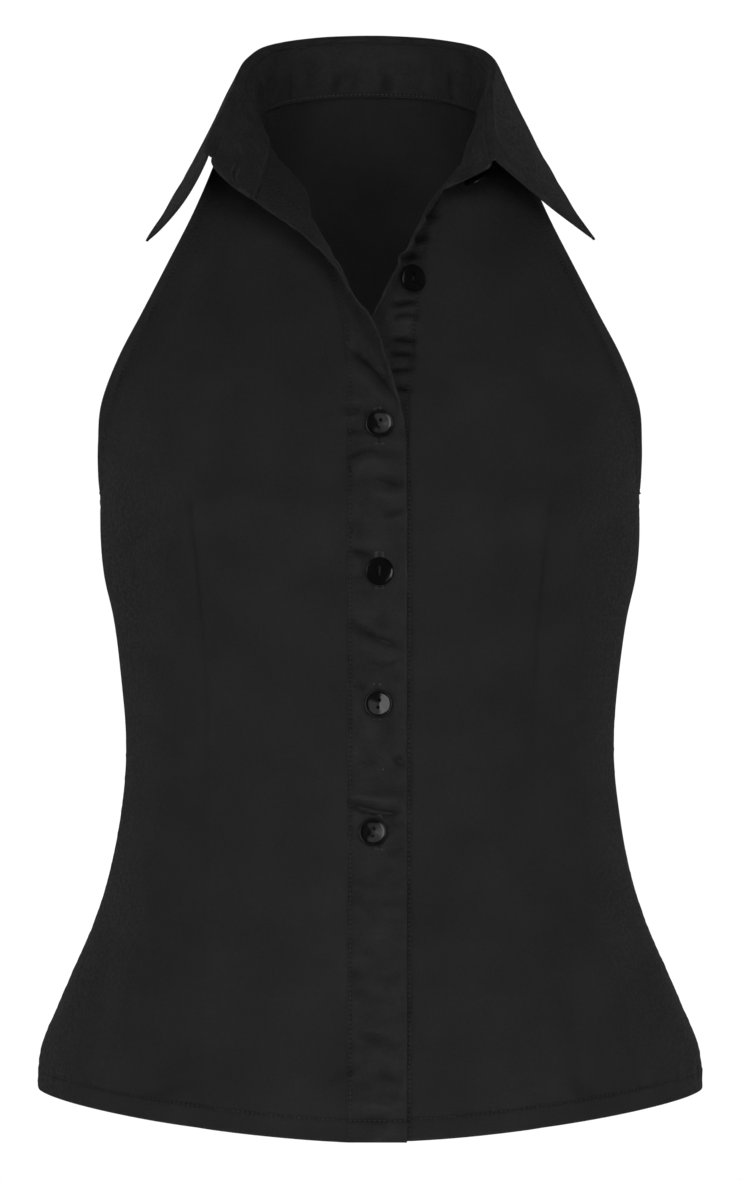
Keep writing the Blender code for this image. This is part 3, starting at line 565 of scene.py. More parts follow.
def cloth_piece(name, surface, flat, order, thick, thin_share, fields, material):
    """A sheet of cloth: a grid primitive laid on the surface's points and given its thickness inwards. order
    is -1 for columns that run to the left. Of its fields, layers is 1 where the cloth is double and 0 where
    it is single, and all are kept as attributes."""
    surface = surface[:, ::order]
    flat = flat[:, ::order]
    fields = {label: field[:, ::order] for label, field in fields.items()}
    rows, columns = surface.shape[:2]
    bpy.ops.object.select_all(action="DESELECT")
    bpy.ops.mesh.primitive_grid_add(x_subdivisions=columns - 1, y_subdivisions=rows - 1, size=1)
    piece = bpy.context.object
    piece.name = name
    mesh = piece.data
    mesh.name = name
    place = np.empty(rows * columns * 3)
    mesh.vertices.foreach_get("co", place)
    place = place.reshape(-1, 3)
    column = np.rint((place[:, 0] + 0.5) * (columns - 1)).astype(int)
    row = np.rint((place[:, 1] + 0.5) * (rows - 1)).astype(int)
    mesh.vertices.foreach_set("co", surface[row, column].ravel())
    corner = np.empty(len(mesh.loops), int)
    mesh.loops.foreach_get("vertex_index", corner)
    mesh.uv_layers[0].data.foreach_set("uv", flat[row[corner], column[corner]].ravel())
    for label, field in fields.items():
        kept = mesh.attributes.new(label, "FLOAT", "POINT")
        kept.data.foreach_set("value", field[row, column].astype(np.float32))
    group = piece.vertex_groups.new(name="thick")
    steps = np.rint(fields["layers"][row, column] * LAYER_STEPS).astype(int)
    for step in range(1, LAYER_STEPS + 1):
        group.add(np.nonzero(steps == step)[0].tolist(), step / LAYER_STEPS, "REPLACE")
    mesh.update()
    wall = piece.modifiers.new("wall", "SOLIDIFY")
    wall.thickness = thick
    wall.offset = -1
    wall.vertex_group = "thick"
    wall.thickness_vertex_group = thin_share
    only(piece)
    bpy.ops.object.modifier_apply(modifier="wall")
    bpy.ops.object.shade_smooth_by_angle(angle=CLOTH_ANGLE)
    mesh.materials.append(material)
    return piece


def laid(surface, out, line):
    """A line brought onto the surface, and the way out along it."""
    points = surface.reshape(-1, 3)
    near = np.array([np.argmin(np.sum((points - spot) ** 2, axis=1)) for spot in line])
    way = out.reshape(-1, 3)[near]
    return line - way * np.sum((line - points[near]) * way, axis=1, keepdims=True), way


def inset(surface, out, edge, inner, far_in):
    """The line on the surface this far in from an edge, toward the line inner, and the way out along it."""
    toward = unit(np.cross(laid(surface, out, edge)[1], np.gradient(edge, axis=0)))
    return laid(surface, out, edge + toward * far_in * np.sign(np.sum(toward * (inner - edge))))


def armhole_row(surface, out, underarm, column, step):
    """An armhole's row of stitches: level under the arm from the side seam, then up inside the edge."""
    low = underarm + UNDERARM_ROWS
    inner = column + (INNER if column == 0 else -INNER)
    line = inset(surface, out, surface[low::step, column], surface[low::step, inner], ARMHOLE_STITCH)[0]
    height = surface[underarm + UNDERARM_ROWS // 2, column, 2] - ARMHOLE_STITCH
    seam = surface[np.argmin(np.abs(surface[:underarm, column, 2] - height)), column]
    return laid(surface, out, np.concatenate([np.linspace(seam, line[0], UNDERARM_ROWS)[:-1], line]))


STITCH_PITCH = 2.5 * MM
STITCH_LENGTH = 2.0 * MM
STITCH_WIDTH = 0.42 * MM
STITCH_SIDES = 6
STITCH_RINGS = 5
STITCH_SKEW = 0.06
STITCH_FLATNESS = 0.8


def stitch_form():
    """One stitch: a small ball of few faces, made once. Returns its points and faces."""
    bpy.ops.object.select_all(action="DESELECT")
    bpy.ops.mesh.primitive_uv_sphere_add(
        segments=STITCH_SIDES, ring_count=STITCH_RINGS, radius=0.5, rotation=(0, math.pi / 2, 0)
    )
    ball = bpy.context.object
    bpy.ops.object.transform_apply(location=True, rotation=True, scale=True)
    points = np.array([tuple(v.co) for v in ball.data.vertices])
    faces = [tuple(p.vertices) for p in ball.data.polygons]
    bpy.data.objects.remove(ball)
    return points, faces


stitch_points, stitch_faces = stitch_form()


def stitch_count(line):
    return max(int(lengths(line)[-1] / STITCH_PITCH), 2)


def row_fields(points, lines):
    """How far each point is from the nearest row of stitches, and how many stitches along that row."""
    away = np.full(points.shape[:2], FAR_OFF)
    count = np.zeros(points.shape[:2])
    for line in lines:
        far, share = nearest_on(points, line)
        count = np.where(far < away, share * stitch_count(line), count)
        away = np.minimum(away, far)
    return away, count


def cloth_fields(surface, lines, layers, worn, painted_shading):
    """What a sheet keeps for its material: its layers, rubbed edges, the painted shade and highlight of its
    folds, and its rows of stitches.
    """
    away, count = row_fields(surface, [line for line, way in lines])
    return {"layers": layers, "worn": worn, "painted_shading": painted_shading, "row_away": away, "row_count": count}


def stitch_row(line, out, seed, length, width):
    """Stitches along a line on the cloth: a list of (middle, direction, way out, length, width)."""
    draw = np.random.default_rng(seed)
    along = lengths(line)
    count = stitch_count(line)
    made = []
    for k in range(count):
        at = (k + 0.5) * along[-1] / count
        ends = read_at([at - length / 2, at + length / 2], along, line)
        way = read_at(at, along, out)
        skew = np.cross(way, ends[1] - ends[0]) * draw.uniform(-STITCH_SKEW, STITCH_SKEW)
        made.append(((ends[0] + ends[1]) / 2, ends[1] - ends[0] + skew, way, length, width))
    return made


def sew(name, stitches, material):
    """One mesh that holds all of these stitches."""
    count = len(stitch_points)
    points = []
    faces = []
    for number, (middle, way, out, length, width) in enumerate(stitches):
        way = unit(way)
        side = unit(np.cross(out, way))
        up = np.cross(way, side)
        turned = stitch_points * np.array((length, width, width * STITCH_FLATNESS))
        points.append(middle + turned @ np.array((way, side, up)))
        faces += [tuple(i + number * count for i in face) for face in stitch_faces]
    mesh = bpy.data.meshes.new(name)
    mesh.from_pydata(np.concatenate(points).tolist(), [], faces)
    mesh.materials.append(material)
    piece = bpy.data.objects.new(name, mesh)
    bpy.context.scene.collection.objects.link(piece)
    only(piece)
    bpy.ops.object.shade_smooth()
    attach(piece, "root")
    return piece


def both_faces(lines, thick, seed, length=STITCH_LENGTH, width=STITCH_WIDTH):
    """Rows of stitches along lines on a piece, on the outside of the cloth and on its inside."""
    made = []
    for line, way in lines:
        made += stitch_row(line, way, seed, length, width)
        made += stitch_row(line - way * thick, -way, seed + 1, length, width)
        seed += 2
    return made


def node_group(name, inputs, outputs):
    """A node group with these number or vector inputs and number outputs, its tree, and its two ends."""
    tree = bpy.data.node_groups.new(name, "ShaderNodeTree")
    for label, value in inputs.items():
        kind = "NodeSocketVector" if value is None else "NodeSocketFloat"
        socket = tree.interface.new_socket(name=label, in_out="INPUT", socket_type=kind)
        if value is not None:
            socket.default_value = value
    for label in outputs:
        tree.interface.new_socket(name=label, in_out="OUTPUT", socket_type="NodeSocketFloat")
    return tree, tree.nodes.new("NodeGroupInput"), tree.nodes.new("NodeGroupOutput")


def calc(tree, operation, *values):
    """A math node: numbers are set on its sockets, and other nodes' sockets are linked to them."""
    node = tree.nodes.new("ShaderNodeMath")
    node.operation = operation
    for socket, value in zip(node.inputs, values):
        if isinstance(value, bpy.types.NodeSocket):
            tree.links.new(value, socket)
        else:
            socket.default_value = value
    return node.outputs[0]


THREAD = 0.28 * MM
WEAVE_DIP = 0.6
CLOUD_CONTRAST = 2.2
CLOUD_SHIFT = -0.6
CLOUD_SIZE = 10 * MM
CLOUD_DETAIL = 4.0
LINT_SPACING = 34 * MM
LINT_SPECK = 0.3 * MM
PULL_WIDTH = 0.9 * MM
PULL_BEAT = 0.4


def plain_weave():
    """Threads that pass over and under one another: Height is 0 to 1 for a place on the flat cloth."""
    tree, start, end = node_group("plain_weave", {"Place": None, "Thread": THREAD}, ["Height"])
    parts = tree.nodes.new("ShaderNodeSeparateXYZ")
    tree.links.new(start.outputs["Place"], parts.inputs[0])
    across = calc(tree, "DIVIDE", parts.outputs[0], start.outputs["Thread"])
    along = calc(tree, "DIVIDE", parts.outputs[1], start.outputs["Thread"])
    warp = calc(tree, "ABSOLUTE", calc(tree, "SINE", calc(tree, "MULTIPLY", across, math.pi)))
    weft = calc(tree, "ABSOLUTE", calc(tree, "SINE", calc(tree, "MULTIPLY", along, math.pi)))
    cell = calc(tree, "ADD", calc(tree, "FLOOR", across), calc(tree, "FLOOR", along))
    over = calc(tree, "FLOORED_MODULO", cell, 2.0)
    warp_up = calc(tree, "MULTIPLY", warp, calc(tree, "MULTIPLY_ADD", weft, WEAVE_DIP, 1 - WEAVE_DIP))
    weft_up = calc(tree, "MULTIPLY", weft, calc(tree, "MULTIPLY_ADD", warp, WEAVE_DIP, 1 - WEAVE_DIP))
    shown = calc(tree, "MULTIPLY", over, calc(tree, "SUBTRACT", warp_up, weft_up))
    tree.links.new(calc(tree, "ADD", shown, weft_up), end.inputs["Height"])
    return tree


def mottle():
    """Cloudy unevenness of a dyed surface: Amount is 0 to 1, in clouds of this size in metres."""
    inputs = {"Place": None, "Size": CLOUD_SIZE, "Detail": CLOUD_DETAIL}
    tree, start, end = node_group("mottle", inputs, ["Amount"])
    noise = tree.nodes.new("ShaderNodeTexNoise")
    tree.links.new(start.outputs["Place"], noise.inputs["Vector"])
    tree.links.new(calc(tree, "DIVIDE", 1.0, start.outputs["Size"]), noise.inputs["Scale"])
    tree.links.new(start.outputs["Detail"], noise.inputs["Detail"])
    clear = calc(tree, "MULTIPLY_ADD", noise.outputs["Fac"], CLOUD_CONTRAST, CLOUD_SHIFT)
    held = calc(tree, "MINIMUM", calc(tree, "MAXIMUM", clear, 0.0), 1.0)
    tree.links.new(held, end.inputs["Amount"])
    return tree


def lint():
    """A few pale specks of fluff: Mask is 1 on a speck."""
    inputs = {"Place": None, "Spacing": LINT_SPACING, "Speck": LINT_SPECK}
    tree, start, end = node_group("lint", inputs, ["Mask"])
    cells = tree.nodes.new("ShaderNodeTexVoronoi")
    tree.links.new(start.outputs["Place"], cells.inputs["Vector"])
    tree.links.new(calc(tree, "DIVIDE", 1.0, start.outputs["Spacing"]), cells.inputs["Scale"])
    far = calc(tree, "MULTIPLY", cells.outputs["Distance"], start.outputs["Spacing"])
    tree.links.new(calc(tree, "LESS_THAN", far, start.outputs["Speck"]), end.inputs["Mask"])
    return tree


def stitch_pull():
    """How a row of stitches draws the cloth in: Amount is 1 at each needle hole. Away is metres from the row
    and Count is stitches along it."""
    inputs = {"Away": FAR_OFF, "Count": 0.0, "Width": PULL_WIDTH}
    tree, start, end = node_group("stitch_pull", inputs, ["Amount"])
    aside = calc(tree, "DIVIDE", start.outputs["Away"], start.outputs["Width"])
    fall = calc(tree, "EXPONENT", calc(tree, "MULTIPLY", calc(tree, "MULTIPLY", aside, aside), -1.0))
    wave = calc(tree, "COSINE", calc(tree, "MULTIPLY", start.outputs["Count"], 2 * math.pi))
    beat = calc(tree, "MULTIPLY_ADD", wave, PULL_BEAT, 1 - PULL_BEAT)
    tree.links.new(calc(tree, "MULTIPLY", fall, beat), end.inputs["Amount"])
    return tree


pull_group = stitch_pull()
weave_group = plain_weave()
mottle_group = mottle()
lint_group = lint()


def placed(tree, group, place, **values):
    """A node group placed in a material with its own values, and with a place where it takes one."""
    node = tree.nodes.new("ShaderNodeGroup")
    node.node_tree = group
    if place:
        tree.links.new(place, node.inputs["Place"])
    for label, value in values.items():
        if isinstance(value, bpy.types.NodeSocket):
            tree.links.new(value, node.inputs[label])
        else:
            node.inputs[label].default_value = value
    return node.outputs[0]


def attribute(tree, label):
    """A value kept on the mesh."""
    node = tree.nodes.new("ShaderNodeAttribute")
    node.attribute_name = label
    return node.outputs["Fac"]


def blend(tree, amount, first, second):
    """Mixes a colour or a socket with another colour by an amount."""
    node = tree.nodes.new("ShaderNodeMix")
    node.data_type = "RGBA"
    tree.links.new(amount, node.inputs["Factor"])
    for socket, value in ((node.inputs["A"], first), (node.inputs["B"], second)):
        if isinstance(value, bpy.types.NodeSocket):
            tree.links.new(value, socket)
        else:
            socket.default_value = (*value, 1)
    return node.outputs["Result"]


GRAIN_HEIGHT = 0.11 * MM
GRAIN_SIZE = 1.1 * MM
GRAIN_DETAIL = 3.0
CRUMPLE_SIZE = 5 * MM
CLOTH_DETAIL = 6.0
PULL_DEPTH = 0.3 * MM
# Painted shade in the needle holes along each row of stitches.
PULL_PAINTED_SHADE = 0.9
PULL_LEAST = 0.3
PULL_MORE = 0.9
PULL_STRETCH = 16 * MM
# Painted shade in sharp folds, and a painted highlight on sharp ridges in the pale colour of rubbed edges.
CREASE_PAINTED_SHADE = 0.8
RIDGE_PAINTED_HIGHLIGHT = 0.7
RUB_BREAKS = 0.8
BLACK_PAINTED_SHADE = (0.005, 0.005, 0.005)
BLACK_DEEP = (0.0095, 0.0095, 0.01)
BLACK_PALE = (0.0178, 0.0178, 0.0183)
BLACK_RUBBED_AND_HIGHLIT = (0.021, 0.021, 0.022)
BLACK_ROUGHNESS = 0.85
BLACK_CLOUD = 30 * MM
BLACK_CRUMPLE = 0.28 * MM
FLUFF = (0.1, 0.1, 0.105)
# A painted sheen, pale where the cloth turns away from the view, broken up by its fuzz.
NAP_PAINTED_SHEEN = (0.065, 0.065, 0.066)
NAP_SHEEN_SIZE = 1.7 * MM
NAP_SHEEN_GAIN = 1.95
NAP_SHEEN_CUT = 0.6375
NAP_SHEEN_BLEND = 0.4
NAP_SHEEN_TURN = 2.1
CLOTH_SHINE = 0.12
FACE_SHEEN = 0.02
SHEEN_ROUGHNESS = 0.45
SHEEN_TINT = (0.5, 0.5, 0.52, 1)
WEAVE_HEIGHT = 0.02 * MM


def bumped(tree, height, shader):
    """Leads a height in metres to a shader's normal."""
    relief = tree.nodes.new("ShaderNodeBump")
    relief.inputs["Distance"].default_value = 1.0
    relief.inputs["Strength"].default_value = 1.0
    tree.links.new(height, relief.inputs["Height"])
    tree.links.new(relief.outputs["Normal"], shader.inputs["Normal"])


def paint_crease_shading(tree, colour):
    """Paints shade into the bottoms of sharp folds and a highlight onto the tops of sharp ridges."""
    painted_shading = attribute(tree, "painted_shading")
    painted_shade = calc(tree, "MULTIPLY", calc(tree, "MAXIMUM", painted_shading, 0.0), CREASE_PAINTED_SHADE)
    ridge = calc(tree, "MAXIMUM", calc(tree, "MULTIPLY", painted_shading, -1.0), 0.0)
    painted_highlight = calc(tree, "MULTIPLY", ridge, RIDGE_PAINTED_HIGHLIGHT)
    return blend(tree, painted_highlight, blend(tree, painted_shade, colour, BLACK_PAINTED_SHADE), BLACK_RUBBED_AND_HIGHLIT)


def paint_nap_sheen(tree, place, colour):
    """Paints a pale sheen into the colour where the cloth turns away from the view."""
    slant = tree.nodes.new("ShaderNodeLayerWeight")
    slant.inputs["Blend"].default_value = NAP_SHEEN_BLEND
    turned = calc(tree, "POWER", slant.outputs["Facing"], NAP_SHEEN_TURN)
    fluffy = placed(tree, mottle_group, place, Size=NAP_SHEEN_SIZE, Detail=GRAIN_DETAIL)
    nap_sheen = calc(tree, "MULTIPLY", turned, calc(tree, "MULTIPLY_ADD", fluffy, NAP_SHEEN_GAIN, -NAP_SHEEN_CUT))
    return blend(tree, calc(tree, "MAXIMUM", nap_sheen, 0.0), colour, NAP_PAINTED_SHEEN)


def cotton(name, deep, pale, roughness, cloud, crumple):
    """Black cotton cloth: its weave, uneven dye, rubbed edges and a little fluff, with painted shade in its
    sharp folds and needle holes, a painted highlight on its sharp ridges and a painted sheen where it turns
    away.
    cloud and crumple are metres: the size of the dye's clouds and the height of the fine crumple."""
    made, tree, cloth = new_material(name)
    flat = tree.nodes.new("ShaderNodeUVMap").outputs["UV"]
    whole = tree.nodes.new("ShaderNodeTexCoord").outputs["Object"]
    clouds = placed(tree, mottle_group, whole, Size=cloud, Detail=CLOTH_DETAIL)
    grain = placed(tree, mottle_group, whole, Size=GRAIN_SIZE, Detail=GRAIN_DETAIL)
    crumples = placed(tree, mottle_group, whole, Size=CRUMPLE_SIZE, Detail=GRAIN_DETAIL)
    uneven = calc(tree, "MULTIPLY_ADD", clouds, 0.5, calc(tree, "MULTIPLY", grain, 0.5))
    dyed = blend(tree, uneven, deep, pale)
    breaks = calc(tree, "MULTIPLY_ADD", grain, RUB_BREAKS, 1 - RUB_BREAKS)
    edged = blend(tree, calc(tree, "MULTIPLY", attribute(tree, "worn"), breaks), dyed, BLACK_RUBBED_AND_HIGHLIT)
    # Painted shade in sharp folds and a painted highlight on sharp ridges.
    shaded = paint_crease_shading(tree, edged)
    row = placed(tree, pull_group, None, Away=attribute(tree, "row_away"), Count=attribute(tree, "row_count"))
    tight = placed(tree, mottle_group, whole, Size=PULL_STRETCH, Detail=1.0)
    pulled = calc(tree, "MULTIPLY", row, calc(tree, "MULTIPLY_ADD", tight, PULL_MORE, PULL_LEAST))
    # Painted shade in the needle holes.
    needle_shaded = blend(tree, calc(tree, "MULTIPLY", pulled, PULL_PAINTED_SHADE), shaded, BLACK_PAINTED_SHADE)
    # Painted sheen where the cloth turns away from the view.
    sheened = paint_nap_sheen(tree, whole, needle_shaded)
    specks = placed(tree, lint_group, whole)
    tree.links.new(blend(tree, specks, sheened, FLUFF), cloth.inputs["Base Color"])
    threads = placed(tree, weave_group, flat, Thread=THREAD)
    fine_grain = calc(tree, "MULTIPLY_ADD", grain, GRAIN_HEIGHT, calc(tree, "MULTIPLY", crumples, crumple))
    drawn_in = calc(tree, "MULTIPLY_ADD", pulled, -PULL_DEPTH, fine_grain)
    bumped(tree, calc(tree, "MULTIPLY_ADD", threads, WEAVE_HEIGHT, drawn_in), cloth)
    cloth.inputs["Roughness"].default_value = roughness
    cloth.inputs["Specular IOR Level"].default_value = CLOTH_SHINE
    cloth.inputs["Sheen Weight"].default_value = FACE_SHEEN
    cloth.inputs["Sheen Roughness"].default_value = SHEEN_ROUGHNESS
    cloth.inputs["Sheen Tint"].default_value = SHEEN_TINT
    return made


FUZZ_SIZE = 0.5 * MM
FUZZ_DETAIL = 2.0
FUZZ_HEIGHT = 0.05 * MM
THREAD_DEEP = (0.012, 0.012, 0.0125)
THREAD_PALE = (0.03, 0.03, 0.031)
THREAD_ROUGHNESS = 0.6
THREAD_SHINE = 0.25


def thread_material(name, deep, pale):
    """Black polyester thread, a little shinier than the cloth, with its twist."""
    made, tree, thread = new_material(name)
    whole = tree.nodes.new("ShaderNodeTexCoord").outputs["Object"]
    fuzz = placed(tree, mottle_group, whole, Size=FUZZ_SIZE, Detail=FUZZ_DETAIL)
    tree.links.new(blend(tree, fuzz, deep, pale), thread.inputs["Base Color"])
    bumped(tree, calc(tree, "MULTIPLY", fuzz, FUZZ_HEIGHT), thread)
    thread.inputs["Roughness"].default_value = THREAD_ROUGHNESS
    thread.inputs["Specular IOR Level"].default_value = THREAD_SHINE
    return made


shirting_black = cotton(
    "shirting_black", BLACK_DEEP, BLACK_PALE, BLACK_ROUGHNESS, BLACK_CLOUD, BLACK_CRUMPLE
)
thread_black = thread_material("sewing_thread", THREAD_DEEP, THREAD_PALE)

SEAM_SINK = 0.75 * MM
SEAM_ROLL = 2.0 * MM
BAND_SINK = 0.25
SEAM_TUCK = 0.45 * MM
EDGE_SINK = 0.45 * MM
EDGE_ROLL = 0.9 * MM
HEM_RAISE = 0.3 * MM
HEM_GROOVE = 0.4 * MM
HEM_SOFTNESS = 0.35 * MM
GROOVE_WIDTH = 0.8 * MM
SEWN_CALM = 14 * MM
RUBBED_WIDTH = 1.1 * MM
HEM_PUCKER = 0.34
HEM_REACH = 4.4
ARMHOLE_SHARE = 0.35
SEAM_STITCH = 2 * MM
SEAM_PUCKER = 0.1
WORN_FAINTLY = 0.35
RIPPLE_LENGTH = 5.5
RIPPLE_HEIGHT = 0.24
RIGHT_SEED = 11
LEFT_SEED = 31
# The waist darts: heights in centimetres, and the rest in millimetres.
DART_TOP = -21.0
DART_FADE = 2.0
DART_START = 0.4
DART_FAINT = -36.0
DART_FAINTING = 10.0
DART_LEAST = 0.15
DART_LINE, DART_LINE_WIDTH = 0.9, 1.1
DART_HOLLOW, DART_HOLLOW_WIDTH = 0.8, 6
# Painted shade along the dart's line and at its point, and a painted highlight on its pouch.
DART_PAINTED_SHADE, DART_SHADE_WIDTH = 0.42, 1.3
POUCH_ASIDE, POUCH_DROP = 6, 9
POUCH_WIDTH, POUCH_LENGTH = 7, 9
POUCH_HEIGHT, POUCH_PAINTED_HIGHLIGHT = 0.9, 0.4
POINT_WIDTH, POINT_LENGTH = 3, 4
POINT_DEPTH, POINT_PAINTED_SHADE = 0.7, 0.5


def seam_roll(distance):
    """How a sewn edge turns in, so that two pieces meet in a groove."""
    return -SEAM_SINK * np.clip(1 - distance / SEAM_ROLL, 0, 1) ** 2


def rounded_off(distance):
    """How a folded edge rounds off."""
    return -EDGE_SINK * np.clip(1 - distance / EDGE_ROLL, 0, 1) ** 2


def turned_edge(distance, width, strength=1.0):
    """A hem: its folded edge rounds off, its double cloth stands up, and its row of stitches sinks in."""
    double = 0.5 - 0.5 * np.tanh((distance - width) / HEM_SOFTNESS / 2)
    relief = HEM_RAISE * double - HEM_GROOVE * bump(distance - width, GROOVE_WIDTH)
    return strength * relief + rounded_off(distance)


def doubled(distance, width):
    return np.clip((width - distance) / MM + 0.5, 0, 1)


def dart(x, z, course):
    """A waist dart, pressed flat: a fine sunken line in a soft dip, with a small pouch inside its upper end.
    Gives its relief, and the shade painted along its line and at its point, with a painted highlight on its
    pouch."""
    at = spline(course[:, 0], course[:, 1], np.clip(z, course[-1, 0], course[0, 0]))
    aside = (x - at) * MM_PER_CM
    above = (z - DART_TOP) * MM_PER_CM
    fade = np.clip((DART_TOP - z) / DART_FADE + DART_START, 0, 1)
    line = fade * (DART_LEAST + (1 - DART_LEAST) * np.clip((z - DART_FAINT) / DART_FAINTING, 0, 1))
    pouch = POUCH_HEIGHT * bump(aside + POUCH_ASIDE, POUCH_WIDTH) * bump(above + POUCH_DROP, POUCH_LENGTH)
    point = POINT_DEPTH * bump(aside, POINT_WIDTH) * bump(above, POINT_LENGTH)
    relief = pouch - point - line * DART_LINE * bump(aside, DART_LINE_WIDTH)
    relief -= fade * DART_HOLLOW * bump(aside, DART_HOLLOW_WIDTH)
    shading = DART_PAINTED_SHADE * line * bump(aside, DART_SHADE_WIDTH) + point * POINT_PAINTED_SHADE - pouch * POUCH_PAINTED_HIGHLIGHT
    return relief * MM, shading


# Creases, in centimetres across and up: both ends of each, how far it bows aside, then its half width and
# its height in millimetres.
RIGHT_CREASES = (
    (-1.4, -12.2, 1.6, -15.8, 0.15, 1.6, -3.4), (-1.2, -13.4, 1.3, -16.1, 0.12, 2.9, 2.1),
    (-1.7, -15.7, 0.0, -15.8, 0.0, 1.6, -2.1), (-1.3, -16.9, -0.2, -16.9, 0.0, 1.6, -1.7),
    (-1.4, -16.3, -0.1, -16.3, 0.0, 2.1, 1.5), (-1.3, -18.4, 0.4, -17.8, 0.05, 1.7, -2.5),
    (-1.1, -19.0, 0.9, -18.4, 0.1, 3.1, 1.7), (0.2, -19.3, 1.8, -19.9, 0.05, 1.6, -2.1),
    (0.0, -20.2, 1.7, -20.6, 0.0, 2.9, 1.5), (0.6, -21.4, 1.95, -21.2, 0.0, 1.7, -2.1),
    (-1.2, -23.2, 0.1, -23.5, 0.0, 1.8, -2.1), (-1.2, -24.4, -0.2, -24.3, 0.0, 1.8, 1.5),
    (-1.1, -27.0, 1.9, -28.4, -0.15, 2.1, -2.8), (-1.0, -27.9, 1.8, -29.2, -0.1, 3.4, 1.7),
    (0.8, -29.3, 1.9, -28.9, 0.0, 1.6, -1.7), (-1.2, -30.2, 0.0, -30.6, 0.0, 2.1, -1.5),
    (-1.0, -33.3, 1.0, -33.8, 0.1, 3.1, 1.5), (1.2, -34.0, 1.95, -34.6, 0.0, 2.0, -2.1),
    (-1.3, -36.4, 1.9, -37.0, -0.22, 1.8, -4.0), (-1.2, -35.9, 1.8, -36.3, -0.2, 2.9, 2.8),
    (0.9, -37.2, 1.8, -37.8, 0.0, 1.4, -1.7), (0.9, -39.2, 1.9, -38.9, 0.0, 1.6, -1.7),
    (-1.2, -40.3, 0.8, -41.0, 0.1, 3.1, -1.5), (-0.6, -43.4, 1.8, -42.8, 0.1, 3.9, 1.5),
    (-1.1, -46.0, 0.9, -46.7, -0.1, 3.2, -1.5), (-1.0, -48.4, 0.7, -48.8, 0.0, 2.1, -2.1),
    (-2.4, -51.2, -0.1, -49.9, 0.1, 2.1, -1.7), (-1.0, -50.9, 0.0, -51.2, 0.0, 1.7, -1.7),
    (0.2, -50.4, 1.9, -51.2, 0.05, 2.0, -2.1), (-0.9, -52.0, 1.4, -52.4, 0.0, 2.6, 1.5),
    # The chest, from the neck and the armhole.
    (-4.7, -5.4, -7.4, -13.6, -0.5, 11.0, -1.8), (-7.8, -4.2, -10.3, -12.5, 0.4, 9.0, 1.3),
    (-9.3, -7.0, -11.6, -13.5, 0.3, 5.0, -0.8), (-12.8, -13.3, -10.4, -17.6, -0.3, 7.0, 0.8),
    (-13.8, -17.4, -10.6, -19.4, 0.2, 5.5, -0.8), (-1.4, -15.9, -4.6, -17.2, 0.1, 4.7, 1.3),
    (-1.3, -23.7, -4.0, -22.9, 0.1, 5.2, 1.1), (-13.2, -23.2, -10.2, -22.1, 0.1, 5.2, -1.5),
    # The waist and the flared skirt.
    (-12.7, -31.0, -9.6, -33.6, -0.2, 6.0, -0.8), (-12.9, -35.2, -9.2, -34.9, 0.2, 5.0, -0.7),
    (-6.8, -30.0, -7.0, -52.0, 0.3, 17.0, 2.0), (-4.2, -33.0, -3.9, -50.0, -0.3, 12.0, -1.1),
    (-11.4, -39.0, -12.6, -53.0, 0.2, 12.0, 1.7), (-13.6, -42.0, -15.2, -52.5, 0.1, 8.0, -1.5),
    (-10.2, -47.5, -10.9, -53.0, 0.1, 6.0, -0.8), (-9.0, -50.9, -12.2, -52.0, 0.1, 3.6, -1.3),
)
LEFT_CREASES = (
    (1.1, -12.0, 2.6, -12.2, 0.0, 1.4, -3.8), (0.8, -12.8, 2.5, -12.9, 0.0, 1.4, -3.8),
    (0.9, -13.8, 2.4, -13.6, 0.0, 1.3, -3.4), (1.0, -10.3, 2.6, -10.0, 0.0, 1.4, -3.4),
    (1.2, -11.1, 2.9, -11.4, 0.0, 2.4, 2.9), (1.0, -14.6, 2.4, -14.8, 0.0, 1.6, -2.6),
    (1.2, -10.9, 2.3, -10.7, 0.0, 1.3, -2.6), (1.5, -8.0, 2.9, -7.4, 0.0, 2.3, -3.6),
    (2.3, -6.9, 3.3, -6.3, 0.0, 2.3, -3.6), (2.9, -5.7, 3.9, -5.1, 0.0, 2.3, -2.9),
    # The chest, from the neck and the armhole.
    (4.4, -4.6, 7.1, -13.0, 0.5, 11.0, -1.7), (7.7, -4.6, 10.2, -12.2, -0.4, 8.0, 1.3),
    (9.5, -7.6, 11.4, -14.3, -0.3, 5.5, -0.8), (12.9, -13.6, 10.9, -17.2, 0.3, 6.0, 0.8),
    (13.7, -17.7, 10.2, -18.9, -0.2, 5.0, -0.7), (2.6, -16.3, 5.4, -17.0, -0.1, 4.7, 1.1),
    (13.3, -22.4, 10.4, -21.6, -0.1, 5.9, -1.5),
    # The waist and the flared skirt.
    (12.8, -30.4, 9.4, -32.7, 0.2, 5.5, -0.8), (12.9, -34.3, 9.5, -35.0, -0.2, 5.5, -0.7),
    (7.4, -29.5, 7.1, -52.0, -0.3, 15.0, 1.8), (4.5, -34.0, 4.9, -51.0, 0.3, 12.0, -1.1),
    (11.6, -38.0, 12.9, -53.0, -0.2, 12.0, 1.7), (13.9, -42.5, 15.4, -52.5, -0.1, 8.0, -1.5),
    (10.7, -46.5, 11.3, -53.0, 0.1, 5.0, -0.8), (10.2, -50.6, 12.4, -52.3, -0.1, 3.6, -1.5),
)


def front_folds(points, creases, seed):
    """Creases and gentle unevenness shared by a front and its band, so that they meet along their seam."""
    x, z = across_and_up(points)
    return folds(x, z, creases) + ripple(x, z, RIPPLE_LENGTH, RIPPLE_HEIGHT, seed)


front_right_middle = front_grid(-1, OVERLAP_STITCH_X, OVERLAP_STITCH, NECK_RIGHT)
front_left_middle = front_grid(1, UNDERLAP_STITCH_X, UNDERLAP_STITCH, NECK_LEFT)


